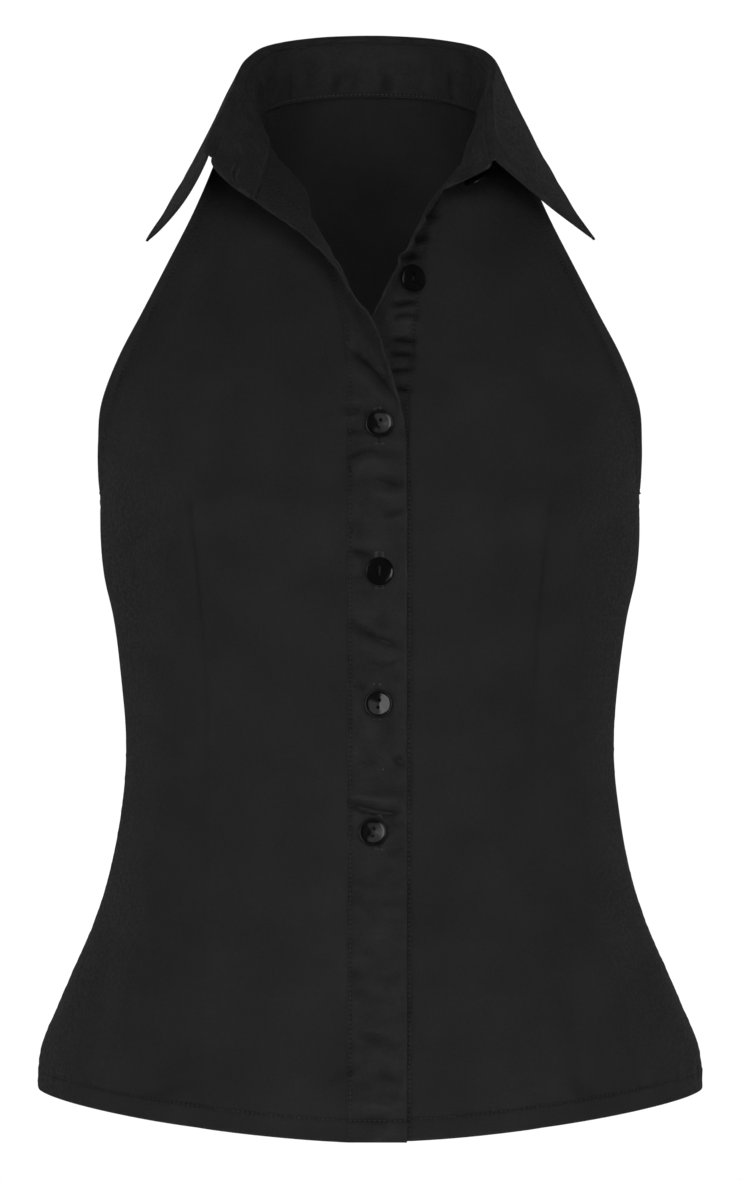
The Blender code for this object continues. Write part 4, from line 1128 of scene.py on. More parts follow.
def panel_edges(points, columns, step):
    """The row of a panel's underarm, how far its points are from its hem, armholes, side seams and top, and
    how calm the cloth is there, from 0 in a seam to 1. columns are those of its side seams, and step is the
    spacing of the points that its armholes' stitches follow."""
    underarm = np.argmin(np.abs(points[:, -1, 2] - UNDERARM_Z * CM))
    edges = SimpleNamespace(columns=columns, step=step, underarm=underarm, hem=flat_places(points)[:, :, 1])
    edges.armhole = np.min([distance_to(points, points[underarm:, k][::3]) for k in columns], axis=0)
    edges.side = np.min([distance_to(points, points[: underarm + 1, k][::3]) for k in columns], axis=0)
    edges.top = distance_to(points, points[-1, ::2])
    edges.calm = np.clip(np.minimum(edges.side, edges.top) / SEWN_CALM, 0, 1)
    return edges


def edge_relief(edges, along, z, seed):
    """How a panel is shaped by its turned hem, its armholes' hems and its seams, with their puckers."""
    return (
        turned_edge(edges.hem, HEM_WIDTH) + turned_edge(edges.armhole, ARMHOLE_HEM, ARMHOLE_SHARE)
        + seam_roll(edges.side) + seam_roll(edges.top)
        + pucker(along, edges.hem - HEM_WIDTH, seed, HEM_PUCKER, HEM_REACH)
        + pucker(z * CM, edges.armhole - ARMHOLE_HEM, seed + 1)
    )


def panel_piece(name, surface, out, flat, order, edges, painted_shading, seed):
    """The shell of a panel on its finished surface, and the stitches of its hem and armholes."""
    worn = np.maximum(bump(edges.hem, RUBBED_WIDTH), bump(edges.armhole, RUBBED_WIDTH))
    faintly = np.maximum(doubled(edges.armhole, ARMHOLE_HEM), bump(edges.side, RUBBED_WIDTH))
    layers = np.maximum(doubled(edges.hem, HEM_WIDTH), doubled(edges.armhole, ARMHOLE_HEM))
    lines = [inset(surface, out, surface[0, ::2], surface[INNER, ::2], HEM_WIDTH)]
    lines += [armhole_row(surface, out, edges.underarm, column, edges.step) for column in edges.columns]
    fields = cloth_fields(surface, lines, layers, np.maximum(worn, WORN_FAINTLY * faintly), painted_shading)
    piece = cloth_piece(name, surface, flat, order, PANEL_THICK, PANEL_THIN_SHARE, fields, shirting_black)
    stitches = sew(name + "_stitches", both_faces(lines, PANEL_THICK, seed), thread_black)
    return piece, stitches


def front_panel(name, middle, side, creases, seed, cad_node):
    """A front from its mid surface, with its first column tucked in under the seam of its band."""
    points = fine(middle, PANEL_PITCH)
    out = grid_normals(points) * side
    flat = flat_places(points)
    from_band = flat[:, :, 0]
    x, z = across_and_up(points)
    edges = panel_edges(points, [-1], 2)
    from_corner = np.linalg.norm(points - points[edges.underarm, -1], axis=2)
    pressed, dart_shading = dart(np.abs(x), z, FRONT_DART)
    relief = (
        edge_relief(edges, from_band, z, seed) + front_folds(points, creases, seed) * edges.calm + pressed
        + BAND_SINK * seam_roll(from_band) - CORNER_SINK * bump(from_corner, CORNER_REACH)
        + pucker(z * CM, from_band - SEAM_STITCH, seed + 2, SEAM_PUCKER)
        + pucker(z * CM, edges.side - SEAM_STITCH, seed + 3, SEAM_PUCKER)
    )
    surface = points + out * (PANEL_OUT + relief)[:, :, None]
    surface[:, 0] += (unit(surface[:, 0] - surface[:, 1]) - out[:, 0]) * SEAM_TUCK
    # Painted shade in sharp folds and along the dart, and a painted highlight on sharp ridges and on the
    # dart's pouch.
    painted_shading = crease_shading(x, z, creases) * edges.calm + dart_shading
    piece, stitches = panel_piece(name, surface, out, flat, side, edges, painted_shading, seed + 4)
    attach(piece, "root")
    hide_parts(cad_node)


front_panel("front_right_panel", front_right_middle, -1, RIGHT_CREASES, RIGHT_SEED, "front_right")
front_panel("front_left_panel", front_left_middle, 1, LEFT_CREASES, LEFT_SEED, "front_left")

# ---------------------------------------------------------------------------------------------------------
# Back
# One shaped piece of the same poplin, cut in deep at the armholes, with a pair of softer waist darts. It has
# the same turned hems as the fronts and is sewn to them at the sides and on the shoulders.
# ---------------------------------------------------------------------------------------------------------
BACK_PITCH = 2.35 * MM
BACK_PRESSED = 0.8
BACK_SEED = 51
BACK_DART = np.array([(-20.8, 7.6), (-34.2, 7.2), (-54.2, 8.2)])
BACK_MIDDLE_Z = (-16.0, -12.0, -8.0, -5.0, -2.5, 0.0)
BACK_ARMHOLE = np.array([
    (14.6, 0.0, -20.2), (14.58, 1.3, -20.0), (14.45, 2.7, -19.2), (14.1, 4.3, -17.7), (13.4, 5.7, -15.7),
    (12.2, 6.9, -13.2), (10.9, 7.2, -10.6), (9.7, 6.7, -7.8), (8.7, 5.4, -4.9),
    (8.1, 3.3, -2.5), (7.95, 0.45, -0.55),
])
NECK_BACK = np.array([(0.0, 7.0, 2.1), (2.4, 6.6, 1.98), (4.4, 5.2, 1.6), (5.7, 3.0, 0.95), (6.3, 0.5, 0.2)])
BACK_CREASES = (
    (-7.2, -1.0, -9.4, -9.5, -0.3, 7.0, -1.0), (6.9, -0.8, 9.0, -10.2, 0.3, 8.0, -1.1),
    (-5.4, 0.6, -5.0, -8.5, 0.2, 12.0, 1.3), (4.7, 0.9, 5.2, -7.6, -0.2, 11.0, 1.1),
    (-2.6, 1.2, -2.9, -4.4, 0.0, 5.0, -0.5), (2.2, 1.3, 1.8, -3.6, 0.0, 5.0, -0.4),
    (-12.6, -14.0, -8.6, -17.4, 0.3, 7.0, -1.0), (12.9, -14.6, 9.0, -18.4, -0.3, 6.5, -1.0),
    (-13.4, -18.0, -10.4, -21.0, 0.2, 6.0, 0.7), (13.2, -18.6, 10.0, -21.8, -0.2, 6.0, 0.8),
    (-11.6, -29.6, -4.8, -31.6, 0.3, 7.0, -1.3), (11.2, -28.8, 3.9, -31.0, -0.3, 7.5, -1.3),
    (-10.6, -32.6, -2.9, -33.4, 0.2, 6.0, 1.0), (10.8, -31.9, 4.4, -33.0, -0.2, 6.0, 0.8),
    (-9.4, -35.4, -4.0, -34.9, 0.2, 6.0, -0.8), (9.9, -34.6, 2.2, -35.4, 0.2, 6.5, -1.0),
    (-5.2, -38.0, -4.2, -53.0, -0.3, 15.0, 2.0), (4.4, -37.0, 4.9, -53.5, 0.3, 16.0, 1.8),
    (-0.4, -40.0, 0.3, -53.5, 0.2, 15.0, -1.5), (-10.0, -38.5, -11.4, -53.0, 0.2, 14.0, 1.8),
    (10.4, -39.0, 11.6, -53.0, -0.2, 13.0, 1.7), (-13.4, -43.0, -14.8, -52.5, 0.1, 8.0, -1.4),
    (13.6, -42.0, 15.0, -52.5, -0.1, 8.0, -1.4), (-6.2, -51.2, -3.6, -52.4, 0.0, 3.0, -0.8),
    (9.2, -51.0, 6.0, -52.4, 0.0, 3.0, -0.8),
)


def back_grid():
    """Mid surface of the back in one piece, left side seam to right side seam in columns."""
    rows = np.array([skirt_row(z, 0.0, BACK_DART, True) for z in side_heights()])
    middle_z = np.array((level(UNDERARM_Z, 0.0), *BACK_MIDDLE_Z))
    middle = np.concatenate([on_form(0 * middle_z, middle_z, True), NECK_BACK[:1]])
    inner = resample(middle, CHEST_ROWS)
    outer = resample(BACK_ARMHOLE, CHEST_ROWS, UNDERARM_CROWD)
    top = np.concatenate([resample(NECK_BACK, NECK_COLUMNS), shoulder_seam(NECK_BACK[-1], SHOULDER_TIP)])
    half = np.concatenate([rows, chest_rows(rows[-1], top, inner, outer)])
    other = half[:, :0:-1] * np.array((-1, 1, 1))
    return np.concatenate([other, half], axis=1)


def back_panel():
    """The back from its mid surface, with its left side seam first."""
    points = fine(back_grid(), BACK_PITCH)[:, ::-1]
    out = grid_normals(points)
    x, z = across_and_up(points)
    edges = panel_edges(points, [0, -1], 1)
    pressed, dart_shading = dart(np.abs(x), z, BACK_DART)
    creased = folds(x, z, BACK_CREASES) + ripple(x, z, RIPPLE_LENGTH, RIPPLE_HEIGHT, BACK_SEED)
    relief = (
        edge_relief(edges, x * CM, z, BACK_SEED + 1) + creased * edges.calm + BACK_PRESSED * pressed
        + pucker(z * CM, edges.side - SEAM_STITCH, BACK_SEED + 3, SEAM_PUCKER)
        + pucker(x * CM, edges.top - SEAM_STITCH, BACK_SEED + 4)
    )
    surface = points + out * (PANEL_OUT + relief)[:, :, None]
    # Painted shade in sharp folds and along the darts, and a painted highlight on sharp ridges and on the
    # darts' pouches.
    painted_shading = crease_shading(x, z, BACK_CREASES) * edges.calm + dart_shading
    flat = flat_places(points)
    piece, stitches = panel_piece("back_panel", surface, out, flat, 1, edges, painted_shading, BACK_SEED + 5)
    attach(piece, "root")
    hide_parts("back")


back_panel()

# ---------------------------------------------------------------------------------------------------------
# Front bands
# Two straight strips of poplin, folded double and stitched down along the fronts. The wearer's right one laps
# over the other. Above the second button they fall open and roll back, and their free edges meet the stand.
# ---------------------------------------------------------------------------------------------------------
BAND_THICK = 1.2 * MM
BAND_OUT = 0.6 * MM
BAND_PITCH = 1.15 * MM
BAND_STITCH = 1.5 * MM
BAND_RIPPLE = 0.24
BAND_RIPPLE_LENGTH = 0.95
# Painted shade in the band's crimp troughs and a painted highlight on its crests.
CRIMP_PAINTED_SHADING = 0.22
CRIMP_TURNS = 0.9
BAND_ROLL = 0.25 * MM
BAND_ROLL_IN = 1.6 * MM
BAND_GROOVE = 0.2 * MM
# Height and reach of the puckers beside the stitches and along the free edge, in millimetres.
BAND_PUCKER = (0.22, 4.0)
FREE_PUCKER = (0.12, 2.5)
BAND_DEEP = (0.0085, 0.0085, 0.009)
BAND_PALE = (0.0205, 0.0205, 0.021)
BAND_ROUGHNESS = 0.8
BAND_CLOUD = 9 * MM
BAND_CRUMPLE = 0.42 * MM
# Black buttonhole thread whose paler tone is a painted sheen standing for the glints of satin thread.
HOLE_THREAD_DEEP = (0.018, 0.018, 0.0185)
HOLE_THREAD_PAINTED_SHEEN = (0.056, 0.056, 0.057)
BAND_STRETCH = 0.4
BAND_SEED = 20
HOLE_LENGTH = 19.5 * MM
HOLE_SLOT = 1.2 * MM
HOLE_SIDE = 1.6 * MM
HOLE_LIP = 0.4
HOLE_DIP_WIDTH = 0.6 * MM
HOLE_CUT = 0.95
HOLE_REACH = 4
HOLE_STITCHES = 30
HOLE_STITCH = (1.7 * MM, 0.68 * MM)
HOLE_STITCH_LIFT = 0.22 * MM
HOLE_STITCH_SINK = 0.1 * MM
BAR_STITCH = (1.2 * MM, 0.5 * MM)
BAR_SPACING = 0.65 * MM
BAR_DROP = 0.2 * MM
# Middles of the overlap's buttonholes, in centimetres across and up: the lowest four are done up.
HOLES = ((0.52, -16.68), (0.43, -24.22), (0.4, -31.15), (0.5, -37.96), (-0.9, -8.6))
BAND_COLUMNS = 4
BAND_LIFTS_OFF = 0.2
OVERLAP_EDGE_X = 1.93
UNDERLAP_EDGE_X = -1.1
# Free edges of the two bands above the bust: x, y, z. Both stand forward of the chest.
OVERLAP_EDGE = np.array([
    (1.93, -12.55, -20.8), (1.9, -12.0, -18.6), (1.86, -11.55, -17.0), (1.72, -11.45, -15.9),
    (1.26, -11.75, -14.4), (0.7, -12.0, -12.75), (0.03, -11.9, -11.0), (-0.85, -11.4, -9.9),
    (-1.75, -10.95, -8.35), (-2.71, -10.45, -7.4), (-3.33, -10.15, -6.8), (-4.34, -9.85, -6.05),
    (-5.19, -9.5, -5.36), (-6.1, -8.85, -4.7),
])
UNDERLAP_EDGE = np.array([
    (-1.1, -12.2, -20.8), (-1.1, -11.55, -18.6), (-1.05, -10.95, -17.0), (-1.0, -10.55, -15.9),
    (-0.85, -10.0, -14.2), (-0.5, -9.7, -12.6), (-0.02, -9.8, -11.1), (0.71, -10.05, -9.8),
    (1.32, -10.0, -8.6), (1.88, -9.7, -7.5), (2.44, -9.25, -6.65), (2.95, -8.7, -5.7),
    (3.3, -8.2, -5.0), (3.59, -7.75, -4.35), (3.8, -7.3, -4.03),
])
# How far each band runs on along the chest before it turns forward, from the bust to the neck.
OVERLAP_RUN = np.array([(0.0, 1.6), (0.25, 1.6), (0.45, 1.3), (0.7, 0.9), (1.0, 1.4)])
UNDERLAP_RUN = np.array([(0.0, 1.6), (0.35, 1.6), (0.6, 1.2), (0.8, 1.1), (1.0, 1.4)])


def band_grid(front, edge_x, edge, run, lift):
    """Mid surface of a front band: from the front's inner edge to the band's free edge."""
    line = front[:, 0]
    skirt = line[: SKIRT_ROWS + 1]
    low = on_form(np.full(len(skirt), edge_x), skirt[:, 2], False)
    low[:, 1] -= lift
    free = np.concatenate([low[:-1], resample(np.concatenate([low[-1:], edge[1:]]), CHEST_ROWS)])
    across = unit(front[:, 0] - front[:, 1])
    high = np.clip((np.arange(len(line)) - SKIRT_ROWS) / CHEST_ROWS, 0, 1)
    reach = spline(run[:, 0], run[:, 1], high)[:, None]
    bend = line + across * reach
    v = np.linspace(0, 1, BAND_COLUMNS + 1)[None, :, None]
    curve = (1 - v) ** 2 * line[:, None] + 2 * (1 - v) * v * bend[:, None] + v**2 * free[:, None]
    straight = line[:, None] * (1 - v) + free[:, None] * v
    straight[:, :, 1] = on_form(straight[:, :, 0], straight[:, :, 2], False)[:, :, 1] - lift
    mix = np.clip(1 - high / BAND_LIFTS_OFF, 0, 1)[:, None, None]
    grid = curve * (1 - mix) + straight * mix
    grid[:, 0] = line
    return grid


def buttonhole(surface, out, x, z, along_row, length=HOLE_LENGTH):
    """Where a buttonhole lies on a piece: places spaced along it, and the way out of the cloth at each."""
    row, column = np.unravel_index(
        np.argmin((surface[:, :, 0] - x * CM) ** 2 + (surface[:, :, 2] - z * CM) ** 2), surface.shape[:2]
    )
    lane = (row, slice(None)) if along_row else (slice(None), column)
    along = lengths(surface[lane])
    steps = along[column if along_row else row] + length * np.linspace(-0.5, 0.5, HOLE_STITCHES)
    return read_at(steps, along, surface[lane]), read_at(steps, along, out[lane])


def hole_lips(x, z, holes):
    """How the cloth stands up beside a buttonhole and dips along its slit, for places in centimetres."""
    total = np.zeros(x.shape)
    for hole_x, hole_z in holes:
        aside = np.abs(x - hole_x) * CM
        inside = 0.5 - 0.5 * np.tanh((np.abs(z - hole_z) * CM - HOLE_LENGTH / 2) / MM)
        total += inside * (bump(aside - HOLE_SIDE, MM) - bump(aside, HOLE_DIP_WIDTH))
    return total * HOLE_LIP * MM


def hole_stitches(places, ways, thick):
    """The close stitches round a buttonhole on both faces: two rows beside its slit and a bar at each end."""
    made = []
    runs = unit(np.gradient(places, axis=0))
    sides = np.cross(ways, runs)
    for height, face in ((HOLE_STITCH_LIFT, 1), (-thick - HOLE_STITCH_SINK, -1)):
        row = places + ways * height
        for place, side, way in zip(row, sides, ways * face):
            for hand in (-1, 1):
                made.append((place + side * hand * HOLE_SIDE, side, way, *HOLE_STITCH))
        for end in (0, -1):
            way = ways[end] * face
            for k in (-2, -1, 1, 2):
                place = row[end] - way * BAR_DROP + sides[end] * k * BAR_SPACING
                made.append((place, runs[end], way, *BAR_STITCH))
    return made


def cut_away(piece, tool):
    """Cuts a solid tool's shape out of a piece, and takes the tool away."""
    cut = piece.modifiers.new("cut", "BOOLEAN")
    cut.operation = "DIFFERENCE"
    cut.solver = "EXACT"
    cut.object = tool
    only(piece)
    bpy.ops.object.modifier_apply(modifier="cut")
    bpy.data.objects.remove(tool)


def cut_hole(piece, places, ways, thick, slot=HOLE_SLOT):
    """Cuts a buttonhole's slit right through the cloth."""
    bpy.ops.object.select_all(action="DESELECT")
    bpy.ops.mesh.primitive_cube_add(size=1)
    slit = bpy.context.object
    chord = places[-1] - places[0]
    side = unit(np.cross(ways[HOLE_STITCHES // 2], chord))
    way = unit(np.cross(chord, side))
    turn = Matrix((side * slot, chord * HOLE_CUT, way * thick * HOLE_REACH)).transposed()
    slit.data.transform(Matrix.Translation(Vector(places.mean(axis=0) - way * thick / 2)) @ turn.to_4x4())
    cut_away(piece, slit)


def front_band(name, middle, side, creases, seed, cad_node, holes):
    """A band from its mid surface: the shell, its rows of stitches, and its buttonholes."""
    points = fine(middle, BAND_PITCH)
    out = grid_normals(points) * -side
    flat = flat_places(points)
    from_front = flat[:, :, 0]
    from_free = flat[:, -1:, 0] - from_front
    from_hem = flat[:, :, 1]
    from_top = flat[-1:, :, 1] - from_hem
    calm = np.clip(from_top / SEWN_CALM, 0, 1)
    x, z = across_and_up(points)
    own_seed = seed + BAND_SEED
    crimp = ripple(x * BAND_STRETCH, z, BAND_RIPPLE_LENGTH, BAND_RIPPLE, own_seed)
    crimp = crimp * (0.5 + 0.5 * np.sin(z * CRIMP_TURNS + seed) ** 2)
    relief = (
        turned_edge(from_hem, HEM_WIDTH) + BAND_SINK * seam_roll(from_front) + seam_roll(from_top)
        + rounded_off(from_free) + BAND_ROLL * bump(from_free - BAND_ROLL_IN, MM)
        - BAND_GROOVE * bump(from_front - BAND_STITCH, GROOVE_WIDTH)
        + front_folds(points, creases, seed) * calm + crimp
        + pucker(from_hem, from_front - BAND_STITCH, own_seed + 1, *BAND_PUCKER)
        + pucker(from_hem, from_free, own_seed + 2, *FREE_PUCKER) + hole_lips(x, z, holes)
    )
    surface = points + out * (BAND_OUT + relief)[:, :, None]
    worn = np.maximum(bump(from_free, RUBBED_WIDTH), bump(from_hem, RUBBED_WIDTH))
    lines = [
        inset(surface, out, surface[::2, 0], surface[::2, INNER], BAND_STITCH),
        inset(surface, out, surface[0], surface[INNER], HEM_WIDTH),
    ]
    # Painted shade and highlight of the sharp folds, and of the crimp's troughs and crests.
    painted_shading = crease_shading(x, z, creases) * calm - crimp / (BAND_RIPPLE * MM) * CRIMP_PAINTED_SHADING
    fields = cloth_fields(surface, lines, np.ones(worn.shape), worn, painted_shading)
    piece = cloth_piece(name, surface, flat, -side, BAND_THICK, 1.0, fields, band_black)
    around_holes = []
    for hole_x, hole_z in holes:
        spot = buttonhole(surface, out, hole_x, hole_z, False)
        around_holes += hole_stitches(*spot, BAND_THICK)
        cut_hole(piece, *spot, BAND_THICK)
    sewn = [sew(name + "_stitches", both_faces(lines, BAND_THICK, own_seed + 3), thread_black)]
    if around_holes:
        sewn.append(sew(name + "_holes", around_holes, hole_thread_sheened))
    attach(piece, "root")
    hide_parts(cad_node)


band_black = cotton("band_black", BAND_DEEP, BAND_PALE, BAND_ROUGHNESS, BAND_CLOUD, BAND_CRUMPLE)
# Buttonhole thread with a painted sheen in its paler tone.
hole_thread_sheened = thread_material("buttonhole_thread_painted_sheen", HOLE_THREAD_DEEP, HOLE_THREAD_PAINTED_SHEEN)
overlap_middle = band_grid(front_right_middle, OVERLAP_EDGE_X, OVERLAP_EDGE, OVERLAP_RUN, LAP_STEP / CM)
underlap_middle = band_grid(front_left_middle, UNDERLAP_EDGE_X, UNDERLAP_EDGE, UNDERLAP_RUN, -LAP_STEP / CM)
front_band("overlap_band", overlap_middle, -1, RIGHT_CREASES, RIGHT_SEED, "placket_right", HOLES)
front_band("underlap_band", underlap_middle, 1, LEFT_CREASES, LEFT_SEED, "placket_left", ())

# ---------------------------------------------------------------------------------------------------------
# Collar stand
# A strip of poplin cut double with a stiff layer inside, sewn to the neck edge, with two rounded front ends.
# Rows of stitches follow its seam and ends, and it has a buttonhole in its overlap end.
# ---------------------------------------------------------------------------------------------------------
STAND_THICK = 1.7 * MM
STAND_PITCH = 1.15 * MM
STAND_STITCH = 2.0 * MM
STAND_STITCH_LENGTH = 1.5 * MM
STAND_STITCH_WIDTH = 0.62 * MM
STAND_RIPPLE = 0.1
STAND_RIPPLE_LENGTH = 2.6
STAND_PUCKER = (0.2, 4.0)
STAND_GROOVE = 0.25 * MM
STAND_CALM = 6 * MM
STAND_SEED = 71
COLLAR_DEEP = (0.008, 0.008, 0.0085)
COLLAR_PALE = (0.024, 0.024, 0.0245)
COLLAR_ROUGHNESS = 0.8
COLLAR_CLOUD = 10 * MM
COLLAR_CRUMPLE = 0.38 * MM
STAND_THREAD_DEEP = (0.02, 0.02, 0.021)
STAND_THREAD_PALE = (0.055, 0.055, 0.057)
STAND_END_LOSS = 0.93
STAND_END_ROUND = 2.2
STAND_HOLE = (-7.3, -3.35)
STAND_HOLE_LENGTH = 17 * MM
STAND_HOLE_SLOT = 0.9 * MM
# Painted shade where the stand's buttonhole gapes in its middle.
GAPING = slice(9, 21)
GAPING_WIDTH = 1.5 * MM
GAPING_PAINTED_SHADE = 1.3
# Top seam of the stand at the stations round the neck. Station 0 is the overlap's free edge, 1 the centre
# front, 2 the stitch line, 4 the shoulder, 6 the back and 12 the underlap's free edge.
STAND_TOP = np.array([
    (-8.55, -9.4, -3.1), (-8.37, -8.0, -2.4), (-7.85, -6.3, -1.0), (-7.0, -4.1, 1.0), (-6.4, 0.2, 3.2),
    (-4.65, 4.8, 4.6), (0.0, 6.55, 5.15), (4.65, 4.8, 4.6), (6.4, 0.2, 3.2), (6.2, -4.0, 1.2),
    (6.15, -6.5, -0.85), (6.45, -7.8, -2.6), (6.25, -8.5, -3.1),
])
# Puckers along the neck seam and above it, in centimetres from the overlap's end and up from the seam.
STAND_CREASES = (
    (3.2, 0.4, 3.6, 1.9, 0.0, 2.1, -1.3), (5.5, 0.3, 5.2, 1.6, 0.0, 2.3, -1.3),
    (8.4, 0.3, 8.9, 2.2, 0.1, 2.9, -1.5), (12.6, 0.3, 12.2, 2.4, 0.1, 3.1, -1.5),
    (15.8, 0.3, 16.0, 1.9, 0.0, 2.3, -1.5), (18.9, 0.3, 19.3, 1.5, 0.1, 2.3, -1.9),
    (22.1, 0.3, 22.0, 1.4, 0.0, 2.2, -1.9), (24.3, 0.4, 24.8, 2.1, 0.0, 3.4, 1.3),
    (26.5, 0.3, 26.2, 1.7, 0.1, 2.3, -1.9), (29.8, 0.3, 30.3, 2.0, 0.1, 2.9, -1.5),
    (33.4, 0.3, 33.1, 2.3, 0.0, 2.9, -1.5), (37.2, 0.3, 37.6, 1.8, 0.1, 2.6, -1.3),
    (40.3, 0.3, 40.1, 1.7, 0.0, 2.3, -1.3),
)

back_middle_row = back_grid()[-1]
back_middle = len(back_middle_row) // 2
neck_seam = np.concatenate([
    overlap_middle[-1, :0:-1],
    front_right_middle[-1, : NECK_COLUMNS + 1],
    back_middle_row[back_middle - NECK_COLUMNS + 1 : back_middle + NECK_COLUMNS],
    front_left_middle[-1, NECK_COLUMNS::-1],
    underlap_middle[-1, 1:],
])
station = np.concatenate([
    np.linspace(0, 2, BAND_COLUMNS + 1)[:-1],
    np.linspace(2, 4, NECK_COLUMNS + 1),
    np.linspace(4, 8, 2 * NECK_COLUMNS + 1)[1:-1],
    np.linspace(8, 10, NECK_COLUMNS + 1),
    np.linspace(10, 12, BAND_COLUMNS + 1)[1:],
])
stations = np.arange(len(STAND_TOP))


def round_neck(from_station, to_station, pitch):
    """Points close together on the neck seam between two stations, and the station of each."""
    along = lengths(neck_seam)
    first, last = np.interp((from_station, to_station), station, along)
    at = first + marks((last - first) * CM, pitch, []) / CM
    return spline(along, neck_seam, at), np.interp(at, along, station)


def stand_surface():
    """Mid surface of the stand: up from the neck seam, its two front ends rounded off."""
    seam, place = round_neck(stations[0], stations[-1], STAND_PITCH)
    top = spline(stations, STAND_TOP, place)
    past = np.clip(np.maximum(stations[1] - place, place - stations[-2]), 0, 1)
    share = np.sqrt(1 - (STAND_END_LOSS * past) ** STAND_END_ROUND)[:, None]
    reach = share * (top - seam)
    tallest = np.linalg.norm(reach, axis=1).max() * CM
    rise = (marks(tallest, STAND_PITCH, []) / tallest)[:, None, None]
    return (seam[None] + rise * reach[None]) * CM


def collar_stand():
    """The stand's shell, its rows of stitches and its buttonhole."""
    points = stand_surface()
    out = -grid_normals(points)
    flat = flat_places(points)
    across = flat[0, :, 0] + np.zeros(flat.shape[:2])
    from_neck = flat[:, :, 1]
    from_top = flat[-1:, :, 1] - from_neck
    from_ends = np.minimum(across, across[:, -1:] - across)
    x = across / CM
    y = from_neck / CM
    relief = (
        folds(x, y, STAND_CREASES) + ripple(x, y, STAND_RIPPLE_LENGTH, STAND_RIPPLE, STAND_SEED)
        + pucker(across, from_neck - STAND_STITCH, STAND_SEED + 1, *STAND_PUCKER)
        - STAND_GROOVE * bump(from_neck - STAND_STITCH, GROOVE_WIDTH)
    )
    sink = 0.5 * seam_roll(from_neck) + seam_roll(from_top) + rounded_off(from_ends)
    calm = np.clip(np.minimum(from_neck, from_top) / STAND_CALM, 0, 1)
    surface = points + out * (STAND_THICK / 2 + relief * calm + sink)[:, :, None]
    worn = np.maximum(bump(from_ends, RUBBED_WIDTH), bump(from_top, RUBBED_WIDTH))
    lines = [
        inset(surface, out, surface[0, ::2], surface[INNER, ::2], STAND_STITCH),
        inset(surface, out, surface[::2, 0], surface[::2, INNER], STAND_STITCH),
        inset(surface, out, surface[::2, -1], surface[::2, -1 - INNER], STAND_STITCH),
    ]
    spot = buttonhole(surface, out, *STAND_HOLE, True, STAND_HOLE_LENGTH)
    # Painted shade round the middle of the buttonhole's slit, where it gapes, added to the painted shade and
    # highlight of the stand's folds.
    slit_shade = bump(distance_to(surface, spot[0][GAPING]), GAPING_WIDTH)
    painted_shading = crease_shading(x, y, STAND_CREASES) + GAPING_PAINTED_SHADE * slit_shade
    fields = cloth_fields(surface, lines, np.ones(worn.shape), worn, painted_shading)
    piece = cloth_piece("stand_cloth", surface, flat, -1, STAND_THICK, 1.0, fields, collar_black)
    rows = both_faces(lines, STAND_THICK, STAND_SEED + 5, STAND_STITCH_LENGTH, STAND_STITCH_WIDTH)
    around_hole = hole_stitches(*spot, STAND_THICK)
    cut_hole(piece, *spot, STAND_THICK, STAND_HOLE_SLOT)
    stitches = sew("stand_cloth_stitches", rows, stand_thread)
    hole_ring = sew("stand_cloth_hole", around_hole, thread_black)
    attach(piece, "root")
    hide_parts("collar_stand")


collar_black = cotton(
    "collar_black", COLLAR_DEEP, COLLAR_PALE, COLLAR_ROUGHNESS, COLLAR_CLOUD, COLLAR_CRUMPLE
)
stand_thread = thread_material("stand_thread", STAND_THREAD_DEEP, STAND_THREAD_PALE)
collar_stand()

# ---------------------------------------------------------------------------------------------------------
# Collar fall
# The pointed leaf of the collar, two layers of poplin turned out through their edge, so no stitch shows along
# it. It is sewn in along the top of the stand, folds over there, and hangs open toward the shoulders.
# ---------------------------------------------------------------------------------------------------------
FALL_THICK = 1.4 * MM
FALL_PITCH = 1.3 * MM
FALL_RIPPLE = 0.16
FALL_RIPPLE_LENGTH = 4.0
FALL_ROWS = 7
FALL_CALM = 12 * MM
FALL_SEED = 81
# The leaf's turned edge: a low ridge and then a groove, each with its distance in, height and half width.
EDGE_RIDGE = (2.2 * MM, 0.18 * MM, 1.8 * MM)
EDGE_GROOVE = (6.5 * MM, -0.12 * MM, 1.4 * MM)
FOLD_RUBBED = 0.3
FOLD_RUBBED_AT = 8 * MM
FOLD_RUBBED_WIDTH = 4 * MM
FOLD_END = 0.5
FOLD_END_WIDTH = 0.15
# Outer edge of the fall at the stations, its outward swell halfway down, and the rise and width of the fold.
FALL_EDGE = np.array([
    (-12.2, -5.2, -7.6), (-12.0, -4.2, -6.6), (-11.2, -2.6, -5.2), (-10.3, -0.6, -3.4), (-8.95, 2.6, -1.2),
    (-6.1, 7.3, 0.1), (0.0, 8.9, 0.7), (6.1, 7.3, 0.1), (8.95, 2.6, -1.2), (10.3, -1.4, -3.6),
    (11.2, -3.7, -5.3), (12.0, -5.7, -6.6), (12.3, -6.6, -7.2),
])
FALL_SWELL = np.array([
    (0.6, -0.9, -0.55), (0.6, -0.8, -0.5), (0.3, -0.5, -0.2), (0.1, -0.2, 0.05), (0.0, 0.3, 0.1),
    (-0.1, 0.5, 0.1), (0.0, 0.5, 0.1), (0.1, 0.5, 0.1), (0.0, 0.3, 0.1), (0.0, -0.2, 0.0),
    (0.0, -0.3, -0.1), (-0.1, -0.3, -0.2), (-0.1, -0.3, -0.2),
])
FOLD_RISE = np.array([0.5, 0.5, 0.5, 0.5, 0.42, 0.32, 0.28, 0.32, 0.42, 0.5, 0.5, 0.5, 0.5])
FOLD_WIDTH = np.array([0.45, 0.45, 0.45, 0.45, 0.42, 0.38, 0.38, 0.38, 0.42, 0.45, 0.45, 0.45, 0.45])
